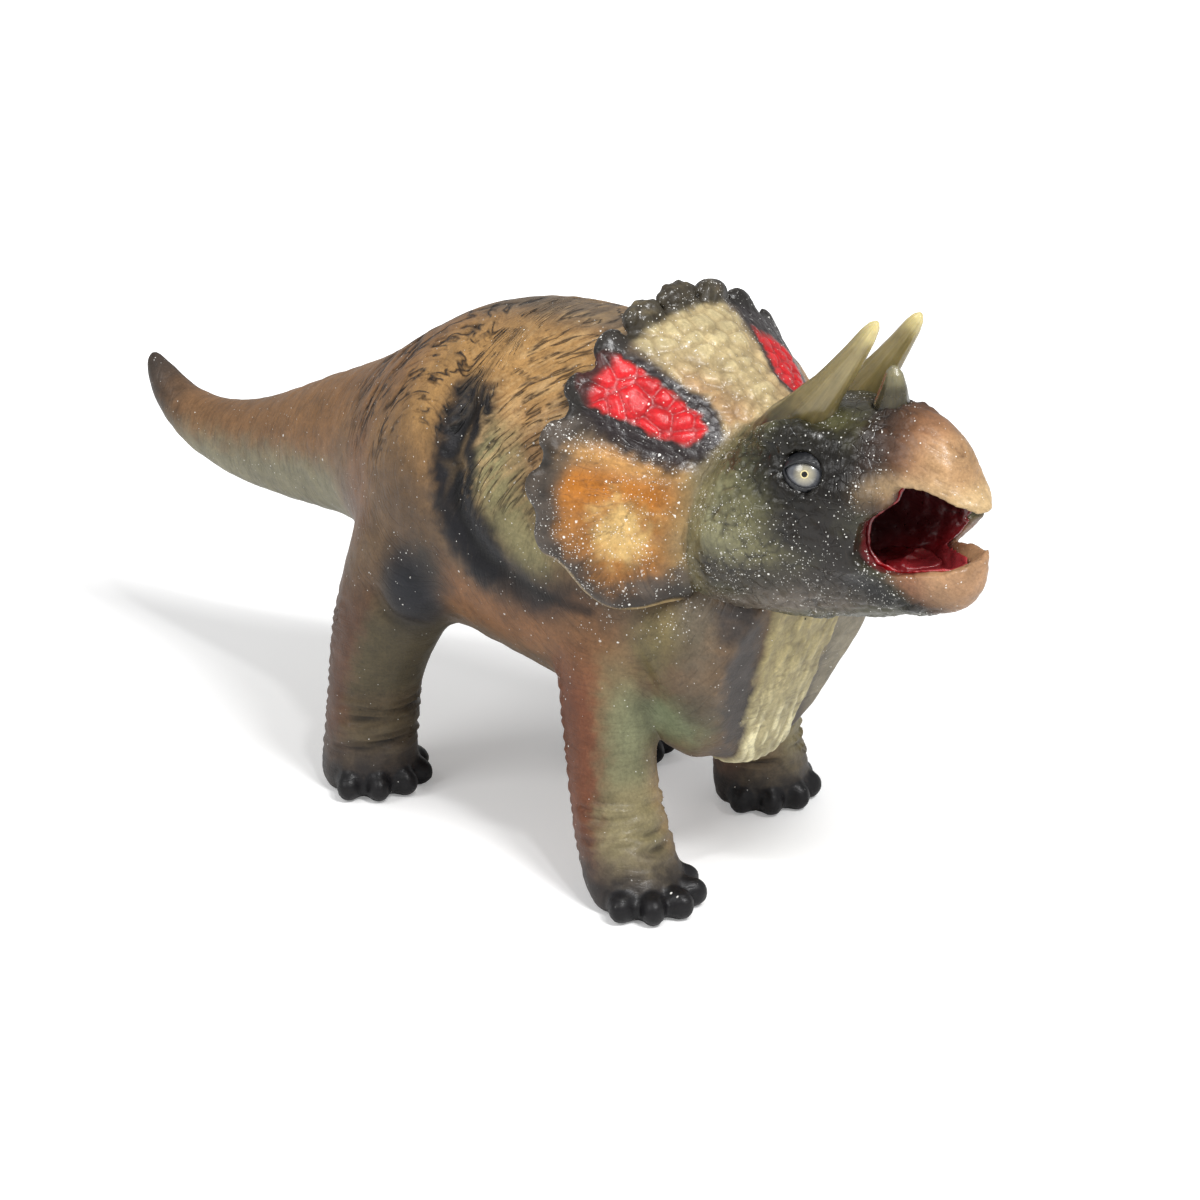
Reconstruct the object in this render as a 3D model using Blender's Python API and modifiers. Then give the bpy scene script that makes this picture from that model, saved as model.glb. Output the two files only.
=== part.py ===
"""Soft rubber toy dinosaur with three horns, a parrot beak and a neck frill.

Hollow rubber mouldings for the trunk, tail, legs and head meet edge to edge, and each is packed
with fibre through a hole in the belly, which a rubber patch closes. Units are metres: +X is
towards the head, +Y is the animal's left and +Z is up. Every form is laid out with the seam
between trunk and tail at x = 0 and the soles at z = 0. The whole toy is then moved so that the
origin lies under the middle of its box.
"""

import math
from collections import namedtuple

import bmesh
import bpy
from mathutils import Matrix, Vector

# Skin and seams
SKIN_WALL = 0.0026
SEAM_GAP = 0.0003
CUT_OVERRUN = 0.020
SOLE_CUT_DEPTH = 0.0005

# Trunk
TRUNK_LENGTH = 0.190
TRUNK_DEPTH = 0.120
TRUNK_WIDTH = 0.108
BACK_HEIGHT = 0.174
KEEL_LENGTH = 0.066
KEEL_WIDTH = 0.026
KEEL_THICKNESS = 0.020
KEEL_SINK_SHARE = 0.25

# Tail
TAIL_LENGTH = 0.126
TAIL_ROOT_DEPTH = 0.061
TAIL_ROOT_WIDTH = 0.056
TAIL_SAG = 0.019
TAIL_TIP_RISE = 0.024

# Legs
FRONT_LEG_THICKNESS = 0.0285
FRONT_TRACK = 0.086
FRONT_STEP = 0.026
FRONT_LEG_LEAN = 0.0144
HIND_LEG_THICKNESS = 0.031
HIND_TRACK = 0.074
HIND_STEP = 0.043
HIND_LEG_LEAN = -0.0085
TOE_LENGTH = 0.0125
TOE_WIDTH = 0.0090
TOE_HEIGHT = 0.0105
TOE_COUNT = 5

# Head
HEAD_LENGTH = 0.105
HEAD_DEPTH = 0.070
HEAD_WIDTH = 0.078
HEAD_LIFT = 0.025
NECK_OVERLAP = 0.052
BROW_LENGTH = 0.026
BROW_THICKNESS = 0.011
BROW_TURN = math.radians(24)
EYE_DIAMETER = 0.0145
MOUTH_LENGTH = 0.035
MOUTH_GAPE = 0.027
MOUTH_WIDTH = 0.031
LINING_WALL = 0.0012
TONGUE_LENGTH = 0.026
TONGUE_WIDTH = 0.015
TONGUE_THICKNESS = 0.009

# Frill
FRILL_SPAN = 0.116
FRILL_HEIGHT = 0.089
FRILL_DROP = 0.053
FRILL_LENGTH = 0.055
FRILL_THICKNESS = 0.0062
FRILL_BOW = 0.005
KNOB_WIDTH = 0.0100
KNOB_COUNT = 13

# Horns
RIGHT_HORN_LENGTH = 0.058
LEFT_HORN_LENGTH = 0.053
BROW_HORN_DIAMETER = 0.0165
BROW_HORN_SPREAD = 0.024
BROW_HORN_LEAN = math.radians(39)
BROW_HORN_WIDTH_SHARE = 0.85
NOSE_HORN_LENGTH = 0.020
NOSE_HORN_DIAMETER = 0.0125
NOSE_HORN_LEAN = math.radians(4)

# Filling hole
PATCH_DIAMETER = 0.022

# Facets round and along each form
BODY_SIDES = 14
LEG_SIDES = 10
HEAD_SIDES = 14
POCKET_SIDES = 8
HORN_SIDES = 8
PATCH_SIDES = 24
SKIN_LEVELS = 1
SMALL_BALL = (8, 6)
LARGE_BALL = (12, 8)
LIP_STEPS = 3
EDGE_STEPS = 8

# Trunk from the tail seam to the throat: along TRUNK_LENGTH, height of the widest point over
# BACK_HEIGHT, reach above and below it over TRUNK_DEPTH, half width over half TRUNK_WIDTH.
TRUNK_STATION_SHARES = (
    (0.08, 0.590, 0.372, 0.320, 0.72),
    (0.22, 0.598, 0.508, 0.390, 0.91),
    (0.38, 0.603, 0.557, 0.420, 1.00),
    (0.54, 0.592, 0.572, 0.440, 1.00),
    (0.67, 0.557, 0.560, 0.450, 0.88),
    (0.78, 0.517, 0.510, 0.445, 0.73),
    (0.86, 0.506, 0.420, 0.430, 0.60),
    (0.94, 0.557, 0.283, 0.265, 0.45),
    (1.00, 0.609, 0.130, 0.140, 0.27),
)
TAIL_SEAM_HEIGHT_SHARE = 0.606

# Tail from its tip to the seam: along TAIL_LENGTH, drop over TAIL_SAG, rise over TAIL_TIP_RISE,
# radius over that of the root.
TAIL_STATION_SHARES = (
    (1.000, 0.90, 0.90, 0.09),
    (0.970, 0.95, 0.66, 0.20),
    (0.900, 1.00, 0.30, 0.28),
    (0.790, 1.00, 0.05, 0.35),
    (0.620, 1.00, 0.00, 0.46),
    (0.420, 0.78, 0.00, 0.61),
    (0.200, 0.36, 0.00, 0.80),
    (0.000, 0.00, 0.00, 1.00),
)

# Legs from the sole up: height over the buried top, shift from foot to hip, reach along the
# body and reach outwards over half the leg's thickness.
HIND_LEG_STATION_SHARES = (
    (0.000, 0.00, 0.86, 0.86),
    (0.014, 0.00, 1.03, 1.03),
    (0.090, 0.00, 1.05, 1.05),
    (0.21, 0.05, 0.97, 0.97),
    (0.34, 0.14, 1.06, 1.00),
    (0.47, 0.34, 1.32, 1.13),
    (0.61, 0.60, 1.66, 1.25),
    (0.77, 0.80, 1.80, 1.32),
    (0.91, 0.93, 1.58, 1.18),
    (1.00, 1.00, 0.80, 0.65),
)
FRONT_LEG_STATION_SHARES = (
    (0.000, 0.00, 0.92, 0.94),
    (0.014, 0.03, 1.11, 1.13),
    (0.100, 0.22, 1.13, 1.15),
    (0.24, 0.52, 1.00, 1.02),
    (0.40, 0.74, 1.02, 1.00),
    (0.56, 0.86, 1.18, 1.06),
    (0.72, 0.92, 1.40, 1.12),
    (0.88, 0.98, 1.42, 1.06),
    (1.00, 1.00, 0.86, 0.63),
)
HIP_ALONG_SHARE = 0.268
HIP_OUT_SHARE = 0.37
HIP_HEIGHT_SHARE = 0.747
SHOULDER_ALONG_SHARE = 0.645
SHOULDER_OUT_SHARE = 0.53
SHOULDER_HEIGHT_SHARE = 0.655

# Head from the neck to the beak: along HEAD_LENGTH, rise over HEAD_LIFT, reach up and down over
# HEAD_DEPTH, half width over half HEAD_WIDTH.
HEAD_STATION_SHARES = (
    (0.00, 0.00, 0.170, 0.170, 0.31),
    (0.10, 0.16, 0.410, 0.400, 0.77),
    (0.22, 0.36, 0.470, 0.457, 0.97),
    (0.35, 0.56, 0.500, 0.486, 1.00),
    (0.48, 0.76, 0.500, 0.510, 0.87),
    (0.61, 0.92, 0.475, 0.510, 0.69),
    (0.73, 1.00, 0.480, 0.500, 0.51),
    (0.85, 0.96, 0.455, 0.410, 0.43),
    (0.94, 0.84, 0.390, 0.300, 0.35),
    (1.00, 0.78, 0.210, 0.190, 0.24),
)
HEAD_AXIS_SHARE = 0.644
HEAD_CAVITY_STATIONS = slice(1, 6)

# Places on the head: along HEAD_LENGTH, then out and up over the head's reach there.
BROW_PLACE_SHARES = (0.48, 0.62, 0.76)
EYE_PLACE_SHARES = (0.55, 0.80, 0.50)
BROW_HORN_PLACE_SHARES = (0.358, 0.43, 0.75)
NOSE_HORN_PLACE_SHARES = (0.67, 0.00, 0.72)
NAPE_PLACE_SHARES = (0.33, 0.00, 0.74)
EYE_FACING_SHARES = (0.35, 0.78, 0.50)
EYE_SINK_SHARE = 0.62

# Side view of the mouth from its corner: forwards over MOUTH_LENGTH, upwards over MOUTH_GAPE.
UPPER_LIP_SHARES = (
    (0.00, 0.00),
    (0.17, 0.41),
    (0.40, 0.64),
    (0.64, 0.67),
    (0.86, 0.55),
    (1.30, 0.20),
)
LOWER_LIP_SHARES = (
    (1.30, -0.24),
    (0.97, -0.36),
    (0.71, -0.46),
    (0.41, -0.41),
    (0.17, -0.20),
    (0.00, 0.00),
)
MOUTH_CORNER_UP_SHARE = -0.13

# Pocket behind the lips: forwards over MOUTH_LENGTH, reach up and down over MOUTH_GAPE, half
# width over half MOUTH_WIDTH.
POCKET_STATION_SHARES = (
    (-0.53, 0.22, 0.22, 0.39),
    (-0.35, 0.48, 0.44, 0.77),
    (-0.12, 0.63, 0.59, 0.97),
    (0.18, 0.74, 0.70, 1.00),
    (0.47, 0.81, 0.74, 0.90),
    (0.71, 0.70, 0.67, 0.76),
    (0.88, 0.37, 0.48, 0.54),
)
POCKET_RISE_SHARE = 0.10

# Frill outline from the crown to the cheek. The edge is given back over FRILL_LENGTH, out over
# half FRILL_SPAN and up over FRILL_HEIGHT from the lobe tips, the root the same way, and the
# bow over FRILL_BOW.
FRILL_STATION_SHARES = (
    ((0.90, 0.00, 0.95), (-0.07, 0.00, 0.53), 0.4),
    ((0.91, 0.38, 0.90), (0.00, 0.22, 0.50), 0.1),
    ((0.93, 0.74, 0.77), (0.07, 0.38, 0.45), -0.3),
    ((0.95, 0.93, 0.59), (0.13, 0.47, 0.37), 0.0),
    ((0.95, 1.00, 0.37), (0.18, 0.52, 0.29), 0.7),
    ((0.84, 0.97, 0.16), (0.22, 0.53, 0.21), 1.0),
    ((0.60, 0.84, 0.01), (0.24, 0.53, 0.14), 0.8),
    ((0.36, 0.66, 0.08), (0.26, 0.53, 0.10), 0.3),
)
FRILL_ROWS = 3
KNOBBED_STATIONS = 6
LAST_KNOB_SHARE = 0.65
FRILL_BOW_FACING_SHARES = (0.80, 0.60)

# Horns from the buried root to the tip: along the horn, radius over half the root diameter.
HORN_STATION_SHARES = (
    (0.00, 0.90),
    (0.20, 1.00),
    (0.45, 0.76),
    (0.70, 0.55),
    (0.90, 0.40),
    (1.00, 0.22),
)

Ring = namedtuple("Ring", "centre first second first_reach second_reach")

UP = Vector((0, 0, 1))
LEFT = Vector((0, 1, 0))
AHEAD = Vector((1, 0, 0))


def clear_scene():
    for thing in list(bpy.data.objects):
        bpy.data.objects.remove(thing, do_unlink=True)


def new_collection(name):
    group = bpy.data.collections.new(name)
    bpy.context.scene.collection.children.link(group)
    return group


def rubber(name, colour, roughness):
    material = bpy.data.materials.new(name)
    material.use_nodes = True
    shader = material.node_tree.nodes["Principled BSDF"]
    shader.inputs["Base Color"].default_value = (*colour, 1)
    shader.inputs["Roughness"].default_value = roughness
    shader.inputs["Metallic"].default_value = 0
    return material


class Workshop:
    """Holds the collections and the empty that carries every piece and cutter."""

    def __init__(self):
        self.parts = new_collection("toy_dinosaur")
        self.cutters = new_collection("cutters")
        self.root = bpy.data.objects.new("toy_frame", None)
        self.parts.objects.link(self.root)

    def add(self, name, mesh_builder, group):
        mesh = bpy.data.meshes.new(name)
        mesh_builder.to_mesh(mesh)
        mesh_builder.free()
        mesh.shade_smooth()
        piece = bpy.data.objects.new(name, mesh)
        piece.parent = self.root
        group.objects.link(piece)
        return piece

    def cutter(self, name, mesh_builder):
        piece = self.add(name, mesh_builder, self.cutters)
        piece.hide_render = True
        piece.display_type = "WIRE"
        return piece

    def part(self, name, mesh_builder, material):
        piece = self.add(name, mesh_builder, self.parts)
        piece.data.materials.append(material)
        return piece


def combine(target, tool, operation):
    change = target.modifiers.new(tool.name, "BOOLEAN")
    change.operation = operation
    change.solver = "EXACT"
    change.object = tool


def cut(target, *tools):
    for tool in tools:
        combine(target, tool, "DIFFERENCE")


def subdivide(piece, levels=SKIN_LEVELS):
    smooth = piece.modifiers.new("smooth", "SUBSURF")
    smooth.levels = levels
    smooth.render_levels = levels


def share_between(low, high, share):
    return low + (high - low) * share


def smooth_shrink(sides):
    """Share of its radius that a ring keeps when a subdivision surface rounds it."""
    return (2 + math.cos(2 * math.pi / sides)) / 3


def loft(rings, sides, grow=0, rounded=True):
    """Closed skin over the rings, moved outwards by grow. A rounded one is a cage."""
    keep = smooth_shrink(sides) if rounded else 1
    form = bmesh.new()
    loops = []
    last = len(rings) - 1
    for i, ring in enumerate(rings):
        run = rings[min(i + 1, last)].centre - rings[max(i - 1, 0)].centre
        step = {0: -grow, last: grow}.get(i, 0)
        centre = ring.centre + run.normalized() * step
        loop = []
        for k in range(sides):
            angle = 2 * math.pi * k / sides
            first, second = math.cos(angle), math.sin(angle)
            first_reach = ring.first_reach[0 if first >= 0 else 1] + grow
            second_reach = ring.second_reach[0 if second >= 0 else 1] + grow
            offset = ring.first * first * first_reach + ring.second * second * second_reach
            loop.append(form.verts.new(centre + offset / keep))
        loops.append(loop)
    for near, far in zip(loops, loops[1:]):
        for k in range(sides):
            after = (k + 1) % sides
            form.faces.new((near[k], near[after], far[after], far[k]))
    form.faces.new(loops[0])
    form.faces.new(loops[-1])
    bmesh.ops.recalc_face_normals(form, faces=form.faces)
    if not rounded:
        bmesh.ops.triangulate(form, faces=form.faces, quad_method="FIXED")
    return form


def settled(rings):
    """The rings as a subdivision surface leaves them, drawn in along their run."""

    def rest(before, here, after):
        return (before + here * 4 + after) / 6

    placed = [rings[0]]
    for before, here, after in zip(rings, rings[1:], rings[2:]):
        reaches = [
            tuple(rest(*trio) for trio in zip(before[field], here[field], after[field]))
            for field in (3, 4)
        ]
        centre = rest(before.centre, here.centre, after.centre)
        placed.append(Ring(centre, here.first, here.second, *reaches))
    placed.append(rings[-1])
    return placed


def ellipsoid(form, centre, reach, turn=None, facets=SMALL_BALL):
    """Adds an ellipsoid with the three reaches along its own axes."""
    turn = turn if turn else Matrix.Identity(4)
    place = Matrix.Translation(centre) @ turn @ Matrix.Diagonal((*reach, 1))
    sides, rows = facets
    bmesh.ops.create_uvsphere(form, u_segments=sides, v_segments=rows, radius=1, matrix=place)


def box(low, high):
    form = bmesh.new()
    size = [b - a for a, b in zip(low, high)]
    middle = [(a + b) / 2 for a, b in zip(low, high)]
    place = Matrix.Translation(middle) @ Matrix.Diagonal((*size, 1))
    bmesh.ops.create_cube(form, size=1, matrix=place)
    return form


def curve_through(points, steps):
    """Points on a smooth curve that passes through all the given ones."""
    placed = []
    last = len(points) - 1
    for i in range(last):
        p0, p1 = points[max(i - 1, 0)], points[i]
        p2, p3 = points[i + 1], points[min(i + 2, last)]
        for step in range(steps):
            t = step / steps
            placed.append(
                (
                    p1 * 2
                    + (p2 - p0) * t
                    + (p0 * 2 - p1 * 5 + p2 * 4 - p3) * t**2
                    + (p1 * 3 - p0 - p2 * 3 + p3) * t**3
                )
                / 2
            )
    placed.append(points[-1].copy())
    return placed


# Trunk and tail


def upright_ring(x, z, up, down, half_width, lean=0):
    """Ring across the body whose top leans back by an angle."""
    upward = Vector((-math.sin(lean), 0, math.cos(lean)))
    return Ring(Vector((x, 0, z)), upward, LEFT, (up, down), (half_width, half_width))


def tail_rings():
    seam_z = BACK_HEIGHT * TAIL_SEAM_HEIGHT_SHARE
    spine = []
    for along, drop, rise, radius in TAIL_STATION_SHARES:
        z = seam_z - TAIL_SAG * drop + TAIL_TIP_RISE * rise
        spine.append((Vector((-TAIL_LENGTH * along, 0, z)), radius))
    rings = []
    last = len(spine) - 1
    for i, (centre, radius) in enumerate(spine):
        run = spine[min(i + 1, last)][0] - spine[max(i - 1, 0)][0]
        lean = math.atan2(run.z, run.x) if i < last else 0
        depth = TAIL_ROOT_DEPTH / 2 * radius
        width = TAIL_ROOT_WIDTH / 2 * radius
        rings.append(upright_ring(centre.x, centre.z, depth, depth, width, lean))
    return rings


def trunk_rings():
    return [
        upright_ring(
            TRUNK_LENGTH * along,
            BACK_HEIGHT * height,
            TRUNK_DEPTH * up,
            TRUNK_DEPTH * down,
            TRUNK_WIDTH / 2 * half_width,
        )
        for along, height, up, down, half_width in TRUNK_STATION_SHARES
    ]


def body_rings():
    return tail_rings() + trunk_rings()


def body_cavity_rings():
    """The same without the solid tail tip and the throat's end."""
    return settled(body_rings())[2:-1]


def keel(grow=0):
    """Pale breastbone plate down the front of the chest."""
    rings = trunk_rings()
    low, high = rings[-3], rings[-1]
    bottom = low.centre - UP * (low.first_reach[1] - KEEL_THICKNESS * KEEL_SINK_SHARE)
    top = high.centre - UP * high.first_reach[1]
    run = (top - bottom).normalized()
    middle = bottom + run * KEEL_LENGTH / 2
    turn = Matrix.Rotation(-math.atan2(run.z, run.x), 4, "Y")
    reach = (KEEL_LENGTH / 2 + grow, KEEL_WIDTH / 2 + grow, KEEL_THICKNESS / 2 + grow)
    form = bmesh.new()
    ellipsoid(form, middle, reach, turn, LARGE_BALL)
    return form


def add_keel(shop, piece, grow=0):
    combine(piece, shop.cutter(piece.name + "_keel", keel(grow)), "UNION")


def seam_box(front, x):
    """Everything ahead of x, or everything behind it."""
    reach_x = TRUNK_LENGTH + TAIL_LENGTH
    low_x, high_x = (x, x + reach_x) if front else (x - reach_x, x)
    return box((low_x, -TRUNK_WIDTH, -CUT_OVERRUN), (high_x, TRUNK_WIDTH, BACK_HEIGHT * 2))


# Legs

Leg = namedtuple("Leg", "name side shares thickness foot hip")


def leg_plans():
    plans = []
    for side_name, side in (("left", 1), ("right", -1)):
        hip = Vector(
            (
                TRUNK_LENGTH * HIP_ALONG_SHARE,
                side * TRUNK_WIDTH / 2 * HIP_OUT_SHARE,
                BACK_HEIGHT * HIP_HEIGHT_SHARE,
            )
        )
        foot = Vector(
            (hip.x + HIND_LEG_LEAN + side * HIND_STEP / 2, side * HIND_TRACK / 2, 0)
        )
        name = f"hind_{side_name}_leg"
        plans.append(Leg(name, side, HIND_LEG_STATION_SHARES, HIND_LEG_THICKNESS, foot, hip))
        shoulder = Vector(
            (
                TRUNK_LENGTH * SHOULDER_ALONG_SHARE,
                side * TRUNK_WIDTH / 2 * SHOULDER_OUT_SHARE,
                BACK_HEIGHT * SHOULDER_HEIGHT_SHARE,
            )
        )
        foot = Vector(
            (shoulder.x + FRONT_LEG_LEAN - side * FRONT_STEP / 2, side * FRONT_TRACK / 2, 0)
        )
        name = f"front_{side_name}_leg"
        plans.append(
            Leg(name, side, FRONT_LEG_STATION_SHARES, FRONT_LEG_THICKNESS, foot, shoulder)
        )
    return plans


def leg_rings(leg):
    rings = []
    for height, shift, along, out in leg.shares:
        x = share_between(leg.foot.x, leg.hip.x, shift)
        y = share_between(leg.foot.y, leg.hip.y, shift**3)
        z = share_between(-SOLE_CUT_DEPTH, leg.hip.z, height)
        along_reach = leg.thickness / 2 * along
        out_reach = leg.thickness / 2 * out
        rings.append(
            Ring(
                Vector((x, y, z)),
                AHEAD,
                LEFT,
                (along_reach, along_reach),
                (out_reach, out_reach),
            )
        )
    return rings


def leg_cavity_rings(leg):
    return settled(leg_rings(leg))[2:]


def toes(leg, grow=0):
    """Blunt nails round the front of the foot."""
    form = bmesh.new()
    reach = (TOE_LENGTH / 2 + grow, TOE_WIDTH / 2 + grow, TOE_HEIGHT / 2 + grow)
    spread = TOE_WIDTH + SEAM_GAP
    ring = leg.thickness / 2
    for i in range(TOE_COUNT):
        angle = (i - (TOE_COUNT - 1) / 2) * spread / ring
        aim = Vector((math.cos(angle), math.sin(angle), 0))
        centre = leg.foot + aim * ring + UP * (TOE_HEIGHT / 2 - SOLE_CUT_DEPTH)
        ellipsoid(form, centre, reach, Matrix.Rotation(angle, 4, "Z"))
    return form


# Head


def head_origin():
    return Vector((TRUNK_LENGTH - NECK_OVERLAP, 0, BACK_HEIGHT * HEAD_AXIS_SHARE))


def head_rings():
    start = head_origin()
    return [
        upright_ring(
            start.x + HEAD_LENGTH * along,
            start.z + HEAD_LIFT * lift,
            HEAD_DEPTH * up,
            HEAD_DEPTH * down,
            HEAD_WIDTH / 2 * half_width,
        )
        for along, lift, up, down, half_width in HEAD_STATION_SHARES
    ]


def head_cavity_rings():
    return settled(head_rings())[HEAD_CAVITY_STATIONS]


def head_point(shares, side=1):
    """Point in the head: along it, and out and up as shares of its reach there."""
    along, out, up = shares
    for near, far in zip(HEAD_STATION_SHARES, HEAD_STATION_SHARES[1:]):
        if along <= far[0]:
            break
    t = (along - near[0]) / (far[0] - near[0])
    lift, above, below, half_width = (
        share_between(a, b, t) for a, b in zip(near[1:], far[1:])
    )
    start = head_origin()
    reach = HEAD_DEPTH * (above if up >= 0 else below)
    return Vector(
        (
            start.x + HEAD_LENGTH * along,
            side * HEAD_WIDTH / 2 * half_width * out,
            start.z + HEAD_LIFT * lift + reach * up,
        )
    )


def brows(grow=0):
    """Ridges over the eyes, from which the horns rise."""
    form = bmesh.new()
    reach = (BROW_LENGTH / 2 + grow, BROW_THICKNESS / 2 + grow, BROW_THICKNESS / 2 + grow)
    for side in (1, -1):
        turn = Matrix.Rotation(-side * BROW_TURN, 4, "Z")
        ellipsoid(form, head_point(BROW_PLACE_SHARES, side), reach, turn)
    return form


def mouth_corner():
    along = 1 - MOUTH_LENGTH / HEAD_LENGTH
    return head_point((along, 0, MOUTH_CORNER_UP_SHARE))


def mouth_gap():
    """Wedge of air between the beak and the jaw, right through from side to side."""
    corner = mouth_corner()

    def lip(shares):
        line = [Vector((MOUTH_LENGTH * ahead, 0, MOUTH_GAPE * up)) for ahead, up in shares]
        return curve_through(line, LIP_STEPS)

    points = lip(UPPER_LIP_SHARES) + lip(LOWER_LIP_SHARES)[:-1]
    form = bmesh.new()
    loops = [
        [form.verts.new(corner + point + LEFT * side * HEAD_WIDTH) for point in points]
        for side in (-1, 1)
    ]
    count = len(points)
    for k in range(count):
        after = (k + 1) % count
        form.faces.new((loops[0][k], loops[0][after], loops[1][after], loops[1][k]))
    form.faces.new(loops[0])
    form.faces.new(loops[1])
    bmesh.ops.recalc_face_normals(form, faces=form.faces)
    return form


def pocket_rings():
    corner = mouth_corner()
    return [
        upright_ring(
            corner.x + MOUTH_LENGTH * ahead,
            corner.z + MOUTH_GAPE * POCKET_RISE_SHARE,
            MOUTH_GAPE * up,
            MOUTH_GAPE * down,
            MOUTH_WIDTH / 2 * half_width,
        )
        for ahead, up, down, half_width in POCKET_STATION_SHARES
    ]


def tongue():
    rings = pocket_rings()
    floor = rings[3].centre - UP * rings[3].first_reach[1]
    centre = floor + UP * TONGUE_THICKNESS / 2
    form = bmesh.new()
    reach = (TONGUE_LENGTH / 2, TONGUE_WIDTH / 2, TONGUE_THICKNESS / 2 + LINING_WALL)
    ellipsoid(form, centre, reach, facets=LARGE_BALL)
    return form


def eye(side, grow=0):
    """Ball sunk in its socket so that a low dome shows."""
    radius = EYE_DIAMETER / 2
    ahead, out, up = EYE_FACING_SHARES
    outward = Vector((ahead, side * out, up)).normalized()
    centre = head_point(EYE_PLACE_SHARES, side) - outward * radius * EYE_SINK_SHARE
    form = bmesh.new()
    ellipsoid(form, centre, (radius + grow,) * 3, facets=LARGE_BALL)
    return form


# Horns


def horn_rings(root, tip, diameter, width_share=1):
    run = (tip - root).normalized()
    across = LEFT
    forward = across.cross(run).normalized()
    rings = []
    for along, radius in HORN_STATION_SHARES:
        reach = diameter / 2 * radius
        centre = root.lerp(tip, along)
        half_width = reach * width_share
        rings.append(Ring(centre, forward, across, (reach, reach), (half_width, half_width)))
    return rings


def brow_horn_rings(side):
    root = head_point(BROW_HORN_PLACE_SHARES, side)
    lean = Vector((math.sin(BROW_HORN_LEAN), 0, math.cos(BROW_HORN_LEAN)))
    tip = root + lean * (LEFT_HORN_LENGTH if side > 0 else RIGHT_HORN_LENGTH)
    tip.y = side * BROW_HORN_SPREAD / 2
    return horn_rings(root, tip, BROW_HORN_DIAMETER, BROW_HORN_WIDTH_SHARE)


def nose_horn_rings():
    root = head_point(NOSE_HORN_PLACE_SHARES)
    lean = Vector((math.sin(NOSE_HORN_LEAN), 0, math.cos(NOSE_HORN_LEAN)))
    return horn_rings(root, root + lean * NOSE_HORN_LENGTH, NOSE_HORN_DIAMETER)


# Frill


def frill_curves():
    """Half outlines of the edge and the root, from crown to cheek, and the bow of each."""
    nape = head_point(NAPE_PLACE_SHARES)
    base = nape - UP * FRILL_DROP

    def place(shares):
        back, out, up = shares
        return Vector(
            (nape.x - FRILL_LENGTH * back, FRILL_SPAN / 2 * out, base.z + FRILL_HEIGHT * up)
        )

    edge = [place(station[0]) for station in FRILL_STATION_SHARES]
    root = [place(station[1]) for station in FRILL_STATION_SHARES]
    bows = [FRILL_BOW * station[2] for station in FRILL_STATION_SHARES]
    return edge, root, bows


def both_sides(half):
    """Adds the mirror image of a half outline that starts on the middle plane."""
    mirrored = [Vector((p.x, -p.y, p.z)) for p in half[:0:-1]]
    return mirrored + list(half)


def frill_sheet():
    edge, root, bows = frill_curves()
    edge, root = both_sides(edge), both_sides(root)
    bows = bows[:0:-1] + bows
    ahead, outward = FRILL_BOW_FACING_SHARES
    form = bmesh.new()
    rows = []
    for outer, inner, bow in zip(edge, root, bows):
        side = (outer.y > 0) - (outer.y < 0)
        push = Vector((ahead, outward * side, 0)).normalized() * bow
        row = []
        for v in range(FRILL_ROWS + 1):
            t = v / FRILL_ROWS
            point = inner.lerp(outer, t) + push * math.sin(math.pi * t)
            row.append(form.verts.new(point))
        rows.append(row)
    for near, far in zip(rows, rows[1:]):
        for v in range(FRILL_ROWS):
            form.faces.new((near[v], near[v + 1], far[v + 1], far[v]))
    bmesh.ops.recalc_face_normals(form, faces=form.faces)
    return form


def knobs():
    """Blunt bosses spaced evenly round the edge."""
    edge, _, _ = frill_curves()
    line = curve_through(both_sides(edge[:KNOBBED_STATIONS]), EDGE_STEPS)
    lengths = [0]
    for a, b in zip(line, line[1:]):
        lengths.append(lengths[-1] + (b - a).length)
    pitch = lengths[-1] / KNOB_COUNT
    form = bmesh.new()
    for k in range(KNOB_COUNT):
        wanted = pitch * (k + 0.5)
        i = max(j for j, length in enumerate(lengths) if length <= wanted)
        run = line[i + 1] - line[i]
        centre = line[i] + run * (wanted - lengths[i]) / run.length
        turn = AHEAD.rotation_difference(run.normalized()).to_matrix().to_4x4()
        from_crown = abs(2 * (k + 0.5) / KNOB_COUNT - 1)
        width = KNOB_WIDTH * share_between(1, LAST_KNOB_SHARE, from_crown)
        reach = ((pitch - SEAM_GAP) / 2, width / 2, width / 2)
        ellipsoid(form, centre, reach, turn)
    return form


# Filling hole


def patch_core(grow=0):
    """Upright cylinder through the belly skin."""
    belly = trunk_rings()[2]
    floor = belly.centre.z - belly.first_reach[1]
    form = bmesh.new()
    radius = PATCH_DIAMETER / 2 + grow
    place = Matrix.Translation((belly.centre.x, 0, floor))
    bmesh.ops.create_cone(
        form,
        cap_ends=True,
        segments=PATCH_SIDES,
        radius1=radius,
        radius2=radius,
        depth=CUT_OVERRUN * 2,
        matrix=place,
    )
    return form


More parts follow.
